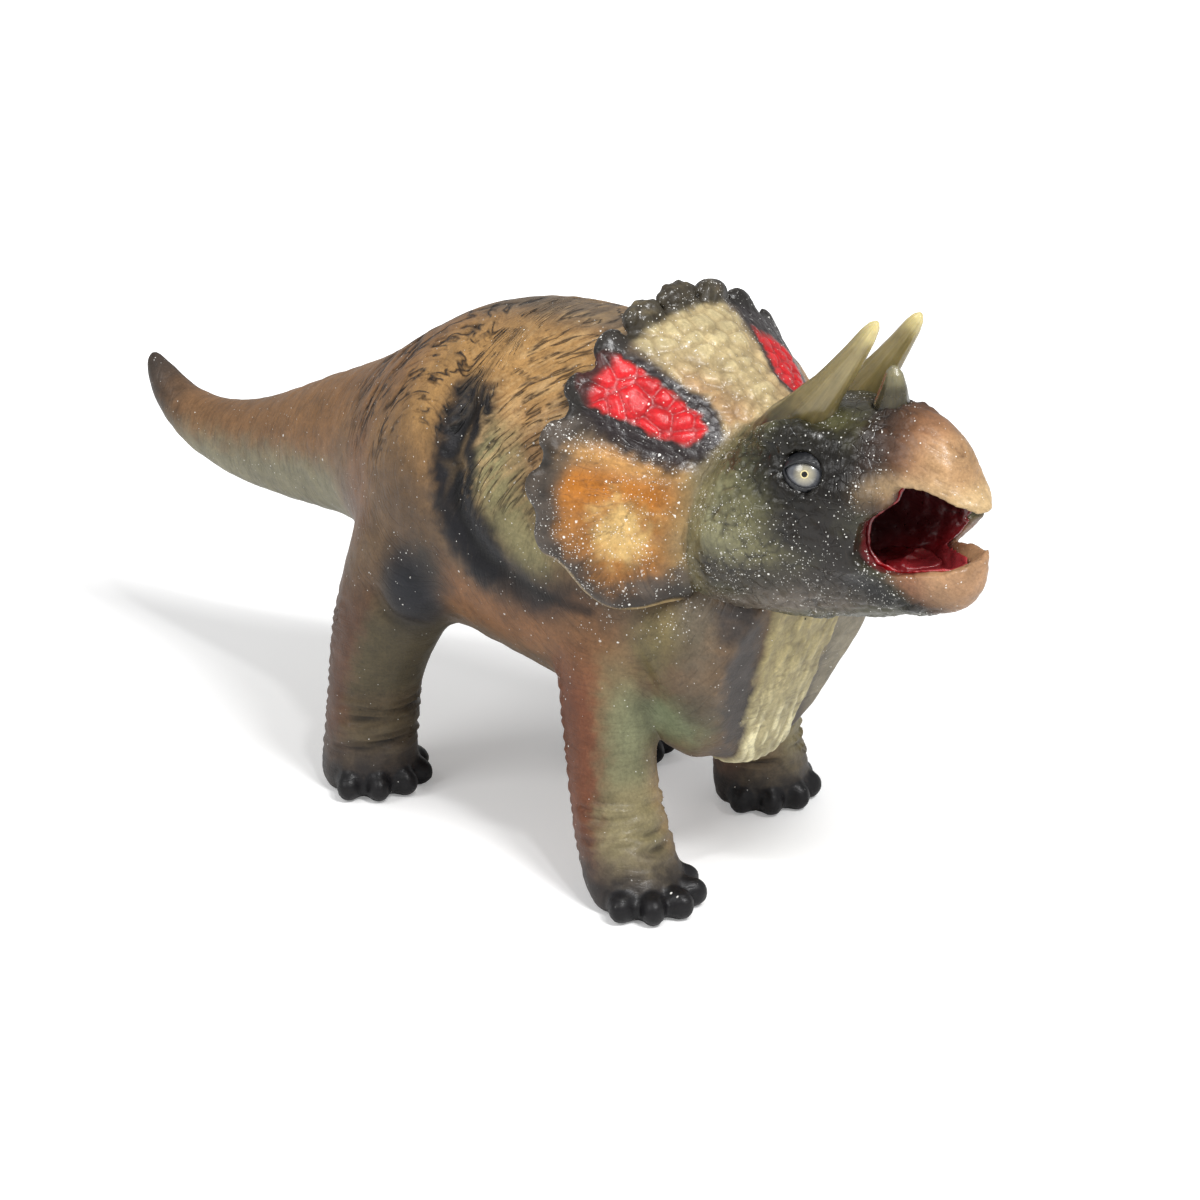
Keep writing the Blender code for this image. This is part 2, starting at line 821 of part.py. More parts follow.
def build():
    clear_scene()
    shop = Workshop()

    back_skin = rubber("back_brown", (0.33, 0.21, 0.11), 0.45)
    tail_skin = rubber("tail_brown", (0.36, 0.25, 0.15), 0.45)
    leg_skin = rubber("leg_olive", (0.24, 0.22, 0.15), 0.45)
    head_skin = rubber("head_olive", (0.13, 0.13, 0.09), 0.20)
    frill_skin = rubber("frill_amber", (0.62, 0.42, 0.20), 0.20)
    horn_rubber = rubber("horn_yellow", (0.62, 0.56, 0.28), 0.25)
    nose_rubber = rubber("nose_horn_grey", (0.16, 0.15, 0.12), 0.20)
    mouth_red = rubber("mouth_red", (0.45, 0.03, 0.03), 0.15)
    eye_cream = rubber("eye_cream", (0.75, 0.70, 0.55), 0.10)
    patch_rubber = rubber("patch_olive", (0.22, 0.21, 0.13), 0.50)
    fibre = rubber("fibre_white", (0.85, 0.85, 0.82), 0.95)

    def body_form(make, name, grow=0, *material):
        piece = make(name, loft(body_rings(), BODY_SIDES, grow), *material)
        subdivide(piece)
        add_keel(shop, piece, grow)
        return piece

    legs = leg_plans()

    # Cutters
    body_clearance = body_form(shop.cutter, "body_clearance", SEAM_GAP)
    body_cavity = shop.cutter(
        "body_cavity", loft(body_cavity_rings(), BODY_SIDES, -SKIN_WALL, rounded=False)
    )
    head_cavity = shop.cutter(
        "head_cavity",
        loft(head_cavity_rings(), HEAD_SIDES, -SKIN_WALL, rounded=False),
    )
    leg_cavities = {
        leg.name: shop.cutter(
            leg.name + "_cavity", loft(leg_cavity_rings(leg), LEG_SIDES, -SKIN_WALL, rounded=False)
        )
        for leg in legs
    }
    behind_seam = shop.cutter("behind_seam", seam_box(False, SEAM_GAP / 2))
    ahead_of_seam = shop.cutter("ahead_of_seam", seam_box(True, -SEAM_GAP / 2))
    ground = shop.cutter(
        "ground",
        box((-TAIL_LENGTH, -TRUNK_WIDTH, -CUT_OVERRUN), (TRUNK_LENGTH * 2, TRUNK_WIDTH, 0)),
    )
    gap = shop.cutter("mouth_gap", mouth_gap())

    def pocket(name, grow):
        piece = shop.cutter(name, loft(pocket_rings(), POCKET_SIDES, grow))
        subdivide(piece)
        return piece

    pocket_socket = pocket("pocket_socket", SEAM_GAP)
    pocket_inside = pocket("pocket_inside", -LINING_WALL)

    # Trunk
    torso = body_form(shop.part, "torso_skin", 0, back_skin)
    cut(torso, body_cavity, behind_seam, head_cavity, *leg_cavities.values())
    cut(torso, shop.cutter("patch_hole", patch_core(SEAM_GAP)))
    patch = body_form(shop.part, "filling_patch", 0, patch_rubber)
    combine(patch, shop.cutter("patch_core", patch_core()), "INTERSECT")
    cut(patch, body_cavity)

    def packing(name, rings, sides):
        inset = -SKIN_WALL - SEAM_GAP
        return shop.part(name, loft(rings, sides, inset, rounded=False), fibre)

    torso_packing = packing("torso_stuffing", body_cavity_rings(), BODY_SIDES)
    cut(torso_packing, behind_seam)

    # Tail
    tail = body_form(shop.part, "tail_skin", 0, tail_skin)
    cut(tail, body_cavity, ahead_of_seam)
    tail_packing = packing("tail_stuffing", body_cavity_rings(), BODY_SIDES)
    cut(tail_packing, ahead_of_seam)

    # Legs
    for leg in legs:
        skin = shop.part(leg.name, loft(leg_rings(leg), LEG_SIDES), leg_skin)
        subdivide(skin)
        combine(skin, shop.cutter(leg.name + "_toes", toes(leg)), "UNION")
        cut(skin, leg_cavities[leg.name], body_clearance, ground)
        leg_packing = packing(leg.name + "_stuffing", leg_cavity_rings(leg), LEG_SIDES)
        cut(leg_packing, body_cavity)

    # Horns and eyes, with the sockets that take them
    sockets = []
    horns = {
        "brow_horn_left": (brow_horn_rings(1), horn_rubber),
        "brow_horn_right": (brow_horn_rings(-1), horn_rubber),
        "nose_horn": (nose_horn_rings(), nose_rubber),
    }
    for name, (rings, material) in horns.items():
        subdivide(shop.part(name, loft(rings, HORN_SIDES), material))
        socket = shop.cutter(name + "_socket", loft(rings, HORN_SIDES, SEAM_GAP))
        subdivide(socket)
        sockets.append(socket)
    for name, side in (("eye_left", 1), ("eye_right", -1)):
        shop.part(name, eye(side), eye_cream)
        sockets.append(shop.cutter(name + "_socket", eye(side, SEAM_GAP)))

    # Head
    def head_form(make, name, grow, *material):
        piece = make(name, loft(head_rings(), HEAD_SIDES, grow), *material)
        subdivide(piece)
        combine(piece, shop.cutter(name + "_brows", brows(grow)), "UNION")
        return piece

    head = head_form(shop.part, "head_skin", 0, head_skin)
    cut(head, head_cavity, gap, pocket_socket, body_clearance, *sockets)
    head_clearance = head_form(shop.cutter, "head_clearance", SEAM_GAP)
    head_packing = packing("head_stuffing", head_cavity_rings(), HEAD_SIDES)
    cut(head_packing, body_cavity, pocket_socket, *sockets)

    # Mouth lining with its tongue
    lining = shop.part("mouth_lining", loft(pocket_rings(), POCKET_SIDES), mouth_red)
    subdivide(lining)
    cut(lining, pocket_inside)
    tongue_form = shop.cutter("tongue_form", tongue())
    tongue_limit = pocket("tongue_limit", -LINING_WALL / 2)
    combine(tongue_form, tongue_limit, "INTERSECT")
    combine(lining, tongue_form, "UNION")
    cut(lining, gap)

    # Frill
    frill = shop.part("neck_frill", frill_sheet(), frill_skin)
    thicken = frill.modifiers.new("thickness", "SOLIDIFY")
    thicken.thickness = FRILL_THICKNESS
    thicken.offset = 0
    thicken.use_even_offset = True
    subdivide(frill)
    combine(frill, shop.cutter("frill_knobs", knobs()), "UNION")
    cut(frill, head_clearance, body_clearance)

    # Origin under the middle of the box
    bpy.context.view_layer.update()
    depsgraph = bpy.context.evaluated_depsgraph_get()
    corners = []
    for piece in shop.parts.objects:
        if piece.type == "MESH":
            seen = piece.evaluated_get(depsgraph)
            corners += [seen.matrix_world @ vertex.co for vertex in seen.data.vertices]
    for axis in (0, 1):
        values = [corner[axis] for corner in corners]
        shop.root.location[axis] = -(min(values) + max(values)) / 2


build()
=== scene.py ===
import math

import bmesh
import bpy
import numpy as np
from mathutils import Matrix, Vector, noise
from mathutils.bvhtree import BVHTree


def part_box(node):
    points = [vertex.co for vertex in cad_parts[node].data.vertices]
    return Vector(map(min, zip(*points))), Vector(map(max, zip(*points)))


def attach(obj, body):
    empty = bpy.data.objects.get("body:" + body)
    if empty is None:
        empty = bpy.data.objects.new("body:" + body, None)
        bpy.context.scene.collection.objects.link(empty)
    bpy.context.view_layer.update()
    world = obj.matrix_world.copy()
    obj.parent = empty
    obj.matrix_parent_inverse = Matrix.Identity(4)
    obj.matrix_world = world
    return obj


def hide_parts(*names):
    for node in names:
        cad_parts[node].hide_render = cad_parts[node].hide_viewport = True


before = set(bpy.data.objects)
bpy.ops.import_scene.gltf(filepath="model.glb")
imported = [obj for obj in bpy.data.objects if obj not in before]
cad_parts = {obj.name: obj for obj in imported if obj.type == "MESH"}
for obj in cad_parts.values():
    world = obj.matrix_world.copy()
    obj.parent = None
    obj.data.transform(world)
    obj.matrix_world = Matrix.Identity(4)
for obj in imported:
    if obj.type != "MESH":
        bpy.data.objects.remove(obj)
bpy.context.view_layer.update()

MM = 0.001

# Every table below is in millimetres, with +X to the head, +Y to the animal's left and +Z up.
# Painted and modelled marks are laid out on one flank and stand on both.

# Foot centre, joint under the skin, half thickness, and how the leg's axis shifts with height
HIND_AXIS = (
    (0, 0.09, 0.21, 0.34, 0.47, 0.61, 0.77, 0.91, 1),
    (0, 0, 0.05, 0.14, 0.34, 0.6, 0.8, 0.93, 1),
)
FRONT_AXIS = (
    (0, 0.1, 0.24, 0.4, 0.56, 0.72, 0.88, 1),
    (0, 0.22, 0.52, 0.74, 0.86, 0.92, 0.98, 1),
)
LEGS = {
    "front_left_leg": ((66.8, 43.0), (65.5, 28.6, 114.0), 14.25, FRONT_AXIS),
    "front_right_leg": ((92.8, -43.0), (65.5, -28.6, 114.0), 14.25, FRONT_AXIS),
    "hind_left_leg": ((6.8, 37.0), (-6.2, 20.0, 130.0), 15.5, HIND_AXIS),
    "hind_right_leg": ((-36.2, -37.0), (-6.2, -20.0, 130.0), 15.5, HIND_AXIS),
}
TOE_PITCH = 9.3
TOE_COUNT = 5
BODY_NODES = ("torso_skin", "tail_skin", *LEGS)
STUFFED_NODES = tuple(name + "_stuffing" for name in ("torso", "tail", "head", *LEGS))

# Grid sizes of the dense skins
BODY_VOXEL = 1.26
HEAD_VOXEL = 0.86
MOUTH_VOXEL = 0.42
FIBRE_VOXEL = 2.4

# Outline of the frill from the crown to the cheek
FRILL_EDGE = (
    (66.1, 0, 182.5),
    (65.5, 22.0, 178.1),
    (64.4, 42.9, 166.5),
    (63.3, 53.9, 150.5),
    (63.3, 58.0, 130.9),
    (69.4, 56.3, 112.2),
    (82.6, 48.7, 98.8),
    (95.8, 38.3, 105.1),
)
RED_PATCH = ((71, 37.5, 166), (79, 34, 162.5), (88, 30.5, 157.5), (94, 27.5, 154.5))
FOLD_STRIPE = (
    (17, 41, 146),
    (17, 45, 138),
    (17.5, 48.5, 129),
    (20, 51, 119),
    (25, 52.5, 111),
    (33, 53, 103.5),
    (45, 52, 98.5),
    (58, 50, 95.5),
    (72, 46, 93.5),
)
KNEE = (-3, 46, 81)
FRONT_LEG_PAINT = ("6c3e29", "6d6e52", "7d7454")
HIND_LEG_PAINT = ("573a2a", "49432f", "453b29")
EYE_RADIUS = 7.25
BROW_HORNS = {
    "brow_horn_right": ((118.6, -12.6, 151.0), (155.0, -12.0, 196.9)),
    "brow_horn_left": ((118.6, 12.6, 151.0), (152.0, 12.0, 193.1)),
}
NOSE_HORN = ((150.9, 0, 160.3), (152.3, 0, 180.0))

# Numbers for whole meshes


def ease(value):
    value = np.clip(value, 0, 1)
    return value * value * (3 - 2 * value)


def ramp(value, low, high):
    return ease((value - low) / (high - low))


def band(value, low, high, soft):
    return ramp(value, low - soft, low + soft) * (1 - ramp(value, high - soft, high + soft))


def linear(text):
    """Linear colour of a web colour."""
    parts = np.array([int(text[i : i + 2], 16) / 255 for i in (0, 2, 4)])
    return np.where(parts <= 0.04045, parts / 12.92, ((parts + 0.055) / 1.055) ** 2.4)


def rgba(text):
    return (*linear(text), 1.0)


def waves(points, size, shift=0.0):
    """Smooth noise from -1 to 1, whose lumps are as big as size, one number or one per axis."""
    scaled = (points / np.asarray(size, float) + shift).tolist()
    return np.array([noise.noise(p) for p in scaled])


def crests(points, size, shift=0.0):
    """Sharp crests at 1 between round valleys that reach about -1."""
    return 1 - np.abs(waves(points, size, shift)) * 4


def grooves(points, size, shift=0.0):
    """Thin lines at 1 between wide flats at 0."""
    return np.clip(1 - np.abs(waves(points, size, shift)) * 5, 0, 1) ** 2


def cells(points, size, shift=0.0):
    """Distance to the nearest cell centre and on to the next, as shares of the cell size."""
    scaled = (points / np.asarray(size, float) + shift).tolist()
    return np.array([noise.voronoi(p)[0][:2] for p in scaled]).T


def scales(points, size, shift=0.0):
    """Rounded plates at 1 with narrow grooves between them at 0."""
    near, far = cells(points, size, shift)
    return ramp(far - near, 0.0, 0.32)


def path_distance(points, path):
    """Distance to a broken line and how far along it the nearest point lies, from 0 to 1."""
    path = np.asarray(path, float).reshape(-1, 3)
    if len(path) == 1:
        return np.linalg.norm(points - path[0], axis=1), np.zeros(len(points))
    best = np.full(len(points), np.inf)
    where = np.zeros(len(points))
    for i, (start, end) in enumerate(zip(path, path[1:])):
        run = end - start
        t = np.clip((points - start) @ run / (run @ run), 0, 1)
        gap = np.linalg.norm(points - start - t[:, None] * run, axis=1)
        nearer = gap < best
        best = np.where(nearer, gap, best)
        where = np.where(nearer, (i + t) / (len(path) - 1), where)
    return best, where


def near_path(points, path, reach):
    """Bell round a broken line, 1 on it and a third at reach."""
    return np.exp(-((path_distance(points, path)[0] / reach) ** 2))


def smooth_path(points, steps=6):
    """Points on a smooth curve through the given ones."""
    points = np.asarray(points, float)
    last = len(points) - 1
    line = []
    for i in range(last):
        a, b = points[max(i - 1, 0)], points[i]
        c, d = points[i + 1], points[min(i + 2, last)]
        for t in np.arange(steps) / steps:
            curve = b * 2 + (c - a) * t + (a * 2 - b * 5 + c * 4 - d) * t**2
            line.append((curve + (b * 3 - a - c * 3 + d) * t**3) / 2)
    return np.array(line + [points[-1]])


def tree_of(nodes):
    """Search tree over the CAD nodes in millimetres, with the index of each face's node."""
    corners, faces, owners = [], [], []
    for i, node in enumerate(nodes):
        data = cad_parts[node].data
        base = len(corners)
        corners += [v.co / MM for v in data.vertices]
        faces += [[base + k for k in p.vertices] for p in data.polygons]
        owners += [i] * len(data.polygons)
    return BVHTree.FromPolygons(corners, faces), np.array(owners)


def add_object(name, data):
    made = bpy.data.objects.new(name, data)
    bpy.context.scene.collection.objects.link(made)
    return made


def add_piece(name, form):
    mesh = bpy.data.meshes.new(name)
    form.to_mesh(mesh)
    form.free()
    return add_object(name, mesh)


class Skin:
    """A mesh seen as arrays, in millimetres, so that it can be shaped and painted."""

    def __init__(self, piece):
        self.piece = piece
        self.read()

    def read(self):
        mesh = self.piece.data
        self.count = len(mesh.vertices)
        flat = np.empty(self.count * 3)
        mesh.vertices.foreach_get("co", flat)
        self.at = flat.reshape(-1, 3) / MM
        edges = np.empty(len(mesh.edges) * 2, dtype=np.int64)
        mesh.edges.foreach_get("vertices", edges)
        self.edges = edges.reshape(-1, 2)
        self.degree = np.maximum(np.bincount(edges, minlength=self.count), 1)

    def write(self):
        mesh = self.piece.data
        mesh.vertices.foreach_set("co", (self.at * MM).ravel())
        mesh.update()

    def keep_outer_shell(self):
        """Deletes closed pockets left between the solids inside the toy."""
        label = np.arange(self.count)
        a, b = self.edges.T
        before = None
        while not np.array_equal(label, before):
            before = label.copy()
            low = np.minimum(label[a], label[b])
            np.minimum.at(label, a, low)
            np.minimum.at(label, b, low)
            label = label[label]
        self.keep(label == label[np.argmax(self.at[:, 0])])

    def keep(self, wanted):
        """Deletes the other points and closes each hole with a cone towards its middle."""
        form = bmesh.new()
        form.from_mesh(self.piece.data)
        spare = [v for v, own in zip(form.verts, wanted) if not own]
        bmesh.ops.delete(form, geom=spare, context="VERTS")
        spare = [v for v in form.verts if not v.link_faces]
        bmesh.ops.delete(form, geom=spare, context="VERTS")
        rim = [e for e in form.edges if e.is_boundary]
        waiting_edges = set(rim)
        for first in rim:
            if first not in waiting_edges:
                continue
            waiting_edges.discard(first)
            loop, ends = [first], list(first.verts)
            while ends:
                for edge in ends.pop().link_edges:
                    if edge in waiting_edges:
                        waiting_edges.discard(edge)
                        loop.append(edge)
                        ends += edge.verts
            middle = sum((v.co for e in loop for v in e.verts), Vector()) / (2 * len(loop))
            tip = form.verts.new(middle)
            for edge in loop:
                corner = edge.link_loops[0]
                form.faces.new((corner.link_loop_next.vert, corner.vert, tip))
        form.to_mesh(self.piece.data)
        form.free()
        self.read()

    def around(self, values):
        """Mean of the neighbours' values."""
        a, b = self.edges.T
        values = values.reshape(self.count, -1)
        total = np.empty_like(values, dtype=float)
        for i in range(values.shape[1]):
            column = values[:, i]
            total[:, i] = np.bincount(a, column[b], self.count)
            total[:, i] += np.bincount(b, column[a], self.count)
        return total / self.degree[:, None]

    def relax(self, passes, share=0.5, where=None):
        weight = share if where is None else share * where[:, None]
        for _ in range(passes):
            self.at += (self.around(self.at) - self.at) * weight
        self.write()

    def even_out(self, passes, where):
        """Takes lumps off without drawing the whole form in."""
        start = self.at.copy()
        self.relax(passes, 0.5, where)
        lost = start - self.at
        for _ in range(passes):
            lost = (lost + self.around(lost)) / 2
        self.at += lost
        self.write()

    def soften(self, mask, passes):
        mask = np.asarray(mask, float).reshape(self.count, -1)
        for _ in range(passes):
            mask = (mask + self.around(mask)) / 2
        return mask[:, 0]

    def normals(self):
        self.write()
        flat = np.empty(self.count * 3)
        self.piece.data.vertices.foreach_get("normal", flat)
        return flat.reshape(-1, 3)

    def push(self, height):
        """Moves every point along its normal by height, in millimetres."""
        self.at += self.normals() * np.asarray(height)[:, None]
        self.write()

    def folded(self):
        """The points with both flanks laid on the left one."""
        flank = self.at.copy()
        flank[:, 1] = np.abs(flank[:, 1])
        return flank

    def nearest(self, nodes):
        """Index of the nearest of the CAD nodes to each point, and the distance to it."""
        tree, owners = tree_of(nodes)
        found = [tree.find_nearest(p) for p in self.at.tolist()]
        return owners[[f[2] for f in found]], np.array([f[3] for f in found])

    def attribute(self, name, values):
        values = np.asarray(values, float).reshape(self.count, -1)
        mesh = self.piece.data
        if values.shape[1] == 1:
            layer = mesh.attributes.new(name, "FLOAT", "POINT")
            layer.data.foreach_set("value", values.ravel())
        else:
            full = np.ones((self.count, 4))
            full[:, : values.shape[1]] = values
            layer = mesh.attributes.new(name, "FLOAT_COLOR", "POINT")
            layer.data.foreach_set("color", full.ravel())


def dense_skin(name, nodes, voxel):
    """One closed skin of fine, even faces round the CAD nodes."""
    form = bmesh.new()
    for node in nodes:
        form.from_mesh(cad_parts[node].data)
    bmesh.ops.remove_doubles(form, verts=form.verts, dist=MM / 1000)
    piece = add_piece(name, form)
    rough = piece.data
    grid = piece.modifiers.new("grid", "REMESH")
    grid.mode = "VOXEL"
    grid.voxel_size = voxel * MM
    depsgraph = bpy.context.evaluated_depsgraph_get()
    depsgraph.update()
    dense = bpy.data.meshes.new_from_object(piece.evaluated_get(depsgraph))
    piece.modifiers.clear()
    piece.data = dense
    bpy.data.meshes.remove(rough)
    dense.name = name
    skin = Skin(piece)
    skin.keep_outer_shell()
    return skin


class Airbrush:
    """Coats of paint on a skin, each a mask from 0 to 1 or a stroke along a broken line."""

    def __init__(self, skin, base):
        self.points = skin.folded()
        self.paint = np.tile(linear(base), (skin.count, 1))
        self.grain = waves(self.points, 2.2) + waves(self.points, 6.0, 7.3)

    def spot(self, path, radius, soft=0.7, ragged=0.18):
        gap, _ = path_distance(self.points, path)
        gap = gap + self.grain * radius * ragged
        return 1 - ramp(gap, radius * (1 - soft), radius * (1 + soft * 0.25))

    def mix(self, colour, mask):
        mask = np.clip(mask, 0, 1)[:, None]
        self.paint = self.paint * (1 - mask) + linear(colour) * mask

    def strokes(self, table, where=1.0):
        for colour, strength, radius, soft, path in table:
            self.mix(colour, self.spot(path, radius, soft) * strength * where)


# Materials


class Graph:
    """Node material written as a chain of calls."""

    def __init__(self, name):
        self.material = bpy.data.materials.new(name)
        self.material.use_nodes = True
        self.tree = self.material.node_tree
        self.shader = self.tree.nodes["Principled BSDF"]
        self.place = self.node("ShaderNodeTexCoord").outputs["Object"]

    def node(self, kind, inputs=None, **settings):
        made = self.tree.nodes.new(kind)
        for key, value in settings.items():
            setattr(made, key, value)
        for key, value in (inputs or {}).items():
            self.set(made.inputs[key], value)
        return made

    def set(self, socket, value):
        if isinstance(value, bpy.types.NodeSocket):
            self.tree.links.new(value, socket)
        else:
            socket.default_value = value

    def value(self, name):
        return self.node("ShaderNodeAttribute", attribute_name=name).outputs["Fac"]

    def colour(self, name):
        return self.node("ShaderNodeAttribute", attribute_name=name).outputs["Color"]

    def math(self, operation, a, b=0.0):
        return self.node("ShaderNodeMath", {0: a, 1: b}, operation=operation).outputs[0]

    def spread(self, value, low, high, out_low=0.0, out_high=1.0):
        inputs = {"Value": value, "From Min": low, "From Max": high}
        inputs.update({"To Min": out_low, "To Max": out_high})
        return self.node("ShaderNodeMapRange", inputs).outputs["Result"]

    def blend(self, mode, factor, a, b):
        made = self.node("ShaderNodeMix", data_type="RGBA", blend_type=mode)
        self.set(made.inputs[0], factor)
        self.set(made.inputs[6], a)
        self.set(made.inputs[7], b)
        return made.outputs[2]

    def shade(self, colour, tone, low, high):
        """The colour made uneven by a noise, from low to high times as bright."""
        return self.blend("MULTIPLY", 1.0, colour, self.spread(tone, 0.3, 0.7, low, high))

    def grain(self, scale, detail=2.0, rough=0.5, flow=None, squeeze=1.0):
        """Noise. With flow, it runs in lines on which that value stays the same."""
        inputs = {"Scale": scale, "Detail": detail, "Roughness": rough, "Vector": self.place}
        if flow is None:
            return self.node("ShaderNodeTexNoise", inputs).outputs["Fac"]
        made = self.node("ShaderNodeTexNoise", None, noise_dimensions="4D")
        inputs["W"] = self.math("MULTIPLY", flow, squeeze / scale)
        for key, value in inputs.items():
            self.set(made.inputs[key], value)
        return made.outputs["Fac"]

    def pebbles(self, scale, feature="F1"):
        inputs = {"Scale": scale, "Vector": self.place}
        return self.node("ShaderNodeTexVoronoi", inputs, feature=feature).outputs["Distance"]

    def bump(self, height, depth, strength=1.0, normal=None):
        inputs = {"Height": height, "Distance": depth * MM, "Strength": strength}
        if normal is not None:
            inputs["Normal"] = normal
        return self.node("ShaderNodeBump", inputs).outputs["Normal"]

    def finish(self, **sockets):
        for name, value in sockets.items():
            self.set(self.shader.inputs[name.replace("_", " ")], value)
        return self.material


def droplet_and_glint_mask(graph, scale, wet, most):
    """Domes of dried varnish at 1 in some cells, on more of them where it is wet; the same domes carry
    white painted glints.
    """
    bend = graph.node("ShaderNodeTexNoise", {"Scale": 1600, "Vector": graph.place}).outputs["Color"]
    bend = graph.node("ShaderNodeVectorMath", {0: bend, "Scale": 0.5 / scale}, operation="SCALE")
    place = graph.node("ShaderNodeVectorMath", {0: graph.place, 1: bend.outputs[0]})
    cell = graph.node("ShaderNodeTexVoronoi", {"Scale": scale, "Vector": place.outputs[0]})
    draw = graph.node("ShaderNodeSeparateColor", {"Color": cell.outputs["Color"]}).outputs
    reach = graph.spread(draw["Green"], 0.0, 1.0, 0.12, 0.34)
    dome = graph.spread(graph.math("DIVIDE", cell.outputs["Distance"], reach), 0.8, 1.2, 1.0, 0.0)
    clumps = graph.spread(graph.grain(95, 3, 0.65), 0.42, 0.62, 0.10, 1.0)
    share = graph.math("MULTIPLY", graph.math("MULTIPLY", wet, clumps), most)
    dome = graph.math("MULTIPLY", dome, graph.spread(draw["Blue"], 0.0, 0.8, 0.2, 1.0))
    return graph.math("MULTIPLY", dome, graph.math("LESS_THAN", draw["Red"], share))


def hide_material(name, roughness, coat):
    """Airbrushed rubber: colour, dark wash in the grooves, dry-brushed crests, grain and varnish, with
    painted shade in the hollows, painted highlights on the crests and white painted glints on varnish
    droplets.
    """
    graph = Graph(name)
    relief = graph.value("Relief")
    flow = graph.value("Flow")
    wet = graph.value("Wet")
    lines = graph.value("Lines")
    scaly = graph.value("Scaly")
    wrinkle = graph.math("SUBTRACT", graph.grain(60, 2, 0.5, flow, 0.36), 0.5)
    wrinkle = graph.math("ABSOLUTE", wrinkle)
    broken = graph.math("MULTIPLY", lines, graph.spread(graph.grain(110, 3, 0.6), 0.43, 0.52))
    groove = graph.math("MULTIPLY", graph.spread(wrinkle, 0.0, 0.05, 1.0, 0.0), broken)
    fine = graph.grain(150, 3, 0.6, flow, 1.2)
    cloud = graph.grain(85, 4, 0.6)
    smear = graph.grain(260, 4, 0.65)
    speck = graph.grain(1100, 3, 0.65)
    network = graph.spread(graph.pebbles(250, "DISTANCE_TO_EDGE"), 0.0, 0.07, 1.0, 0.0)
    network = graph.math("MULTIPLY", network, graph.spread(graph.grain(75, 3, 0.6), 0.44, 0.60))
    network = graph.math("MULTIPLY", network, scaly)
    colour = graph.shade(graph.colour("Paint"), cloud, 0.80, 1.18)
    colour = graph.shade(colour, smear, 0.84, 1.15)
    colour = graph.shade(colour, speck, 0.82, 1.16)
    colour = graph.blend("MULTIPLY", groove, colour, rgba("33261f"))
    colour = graph.blend("MULTIPLY", graph.math("MULTIPLY", network, 0.35), colour, rgba("40382e"))
    wash = graph.math("MULTIPLY", graph.spread(fine, 0.46, 0.34, 0.0, 0.42), lines)
    colour = graph.blend("MULTIPLY", wash, colour, rgba("6a5846"))
    # Lighter on the highs of the fine lines: dry-brushing that also stands as painted highlight.
    fine_drybrush_and_highlight = graph.math("MULTIPLY", graph.spread(fine, 0.57, 0.70, 0.0, 0.42), lines)
    colour = graph.blend("SCREEN", fine_drybrush_and_highlight, colour, rgba("5d5340"))
    # Darker where the relief is low: a wash that also stands as painted shade in the hollows.
    hollow_wash_and_shade = graph.spread(relief, 0.42, 0.05, 0.0, 0.85)
    colour = graph.blend("MULTIPLY", hollow_wash_and_shade, colour, rgba("3a2f28"))
    # Lighter where the relief is high: dry-brushing that also stands as painted highlight on the
    # crests.
    crest_drybrush_and_highlight = graph.spread(relief, 0.62, 1.0, 0.0, 0.55)
    colour = graph.blend("SCREEN", crest_drybrush_and_highlight, colour, rgba("4d4535"))
    droplets_and_glints = graph.math(
        "MAXIMUM", droplet_and_glint_mask(graph, 760, wet, 0.18), droplet_and_glint_mask(graph, 1450, wet, 0.72)
    )
    # White painted glints on the varnish droplets.
    colour = graph.blend("MIX", graph.math("MULTIPLY", droplets_and_glints, 0.92), colour, rgba("f6f4ee"))
    normal = graph.bump(groove, -0.45, 0.8)
    normal = graph.bump(network, -0.22, 0.7, normal)
    normal = graph.bump(graph.math("MULTIPLY", fine, lines), 0.30, 0.7, normal)
    normal = graph.bump(smear, 0.30, 0.5, normal)
    normal = graph.bump(speck, 0.16, 0.6, normal)
    return graph.finish(
        Base_Color=colour,
        Roughness=graph.spread(speck, 0.25, 0.75, roughness - 0.07, roughness + 0.09),
        Normal=normal,
        Coat_Weight=graph.spread(wet, 0.0, 1.0, 0.25 * coat, coat),
        Coat_Roughness=0.12,
        Coat_Normal=graph.bump(droplets_and_glints, 0.30, 1.0, normal),
        Specular_IOR_Level=0.28,
    )


def horn_material(name, roughness):
    """Translucent horn rubber with fine lines along it."""
    graph = Graph(name)
    line = graph.grain(60, 3, 0.6, graph.value("Flow"), 1.0)
    cloud = graph.grain(160, 4, 0.6)
    colour = graph.shade(graph.colour("Paint"), line, 0.80, 1.15)
    colour = graph.shade(colour, cloud, 0.88, 1.12)
    normal = graph.bump(line, 0.3, 0.6)
    return graph.finish(
        Base_Color=colour,
        Roughness=graph.spread(cloud, 0.3, 0.7, roughness, roughness + 0.12),
        Normal=normal,
        Subsurface_Weight=0.35,
        Subsurface_Radius=(1.0, 0.75, 0.3),
        Subsurface_Scale=0.003,
        Coat_Weight=0.6,
        Coat_Roughness=0.06,
        Coat_Normal=graph.bump(graph.grain(900, 2, 0.5), 0.12, 0.5, normal),
    )


def painted_material(name, roughness, coat, depth=0.15, scale=500):
    """Plain painted rubber: colour from the mesh with a little unevenness."""
    graph = Graph(name)
    cloud = graph.grain(scale * 0.3, 4, 0.6)
    speck = graph.grain(scale * 2, 2, 0.6)
    return graph.finish(
        Base_Color=graph.shade(graph.colour("Paint"), cloud, 0.82, 1.15),
        Roughness=graph.spread(speck, 0.25, 0.75, roughness - 0.04, roughness + 0.08),
        Normal=graph.bump(speck, depth, 0.7),
        Coat_Weight=coat,
        Coat_Roughness=0.05,
    )


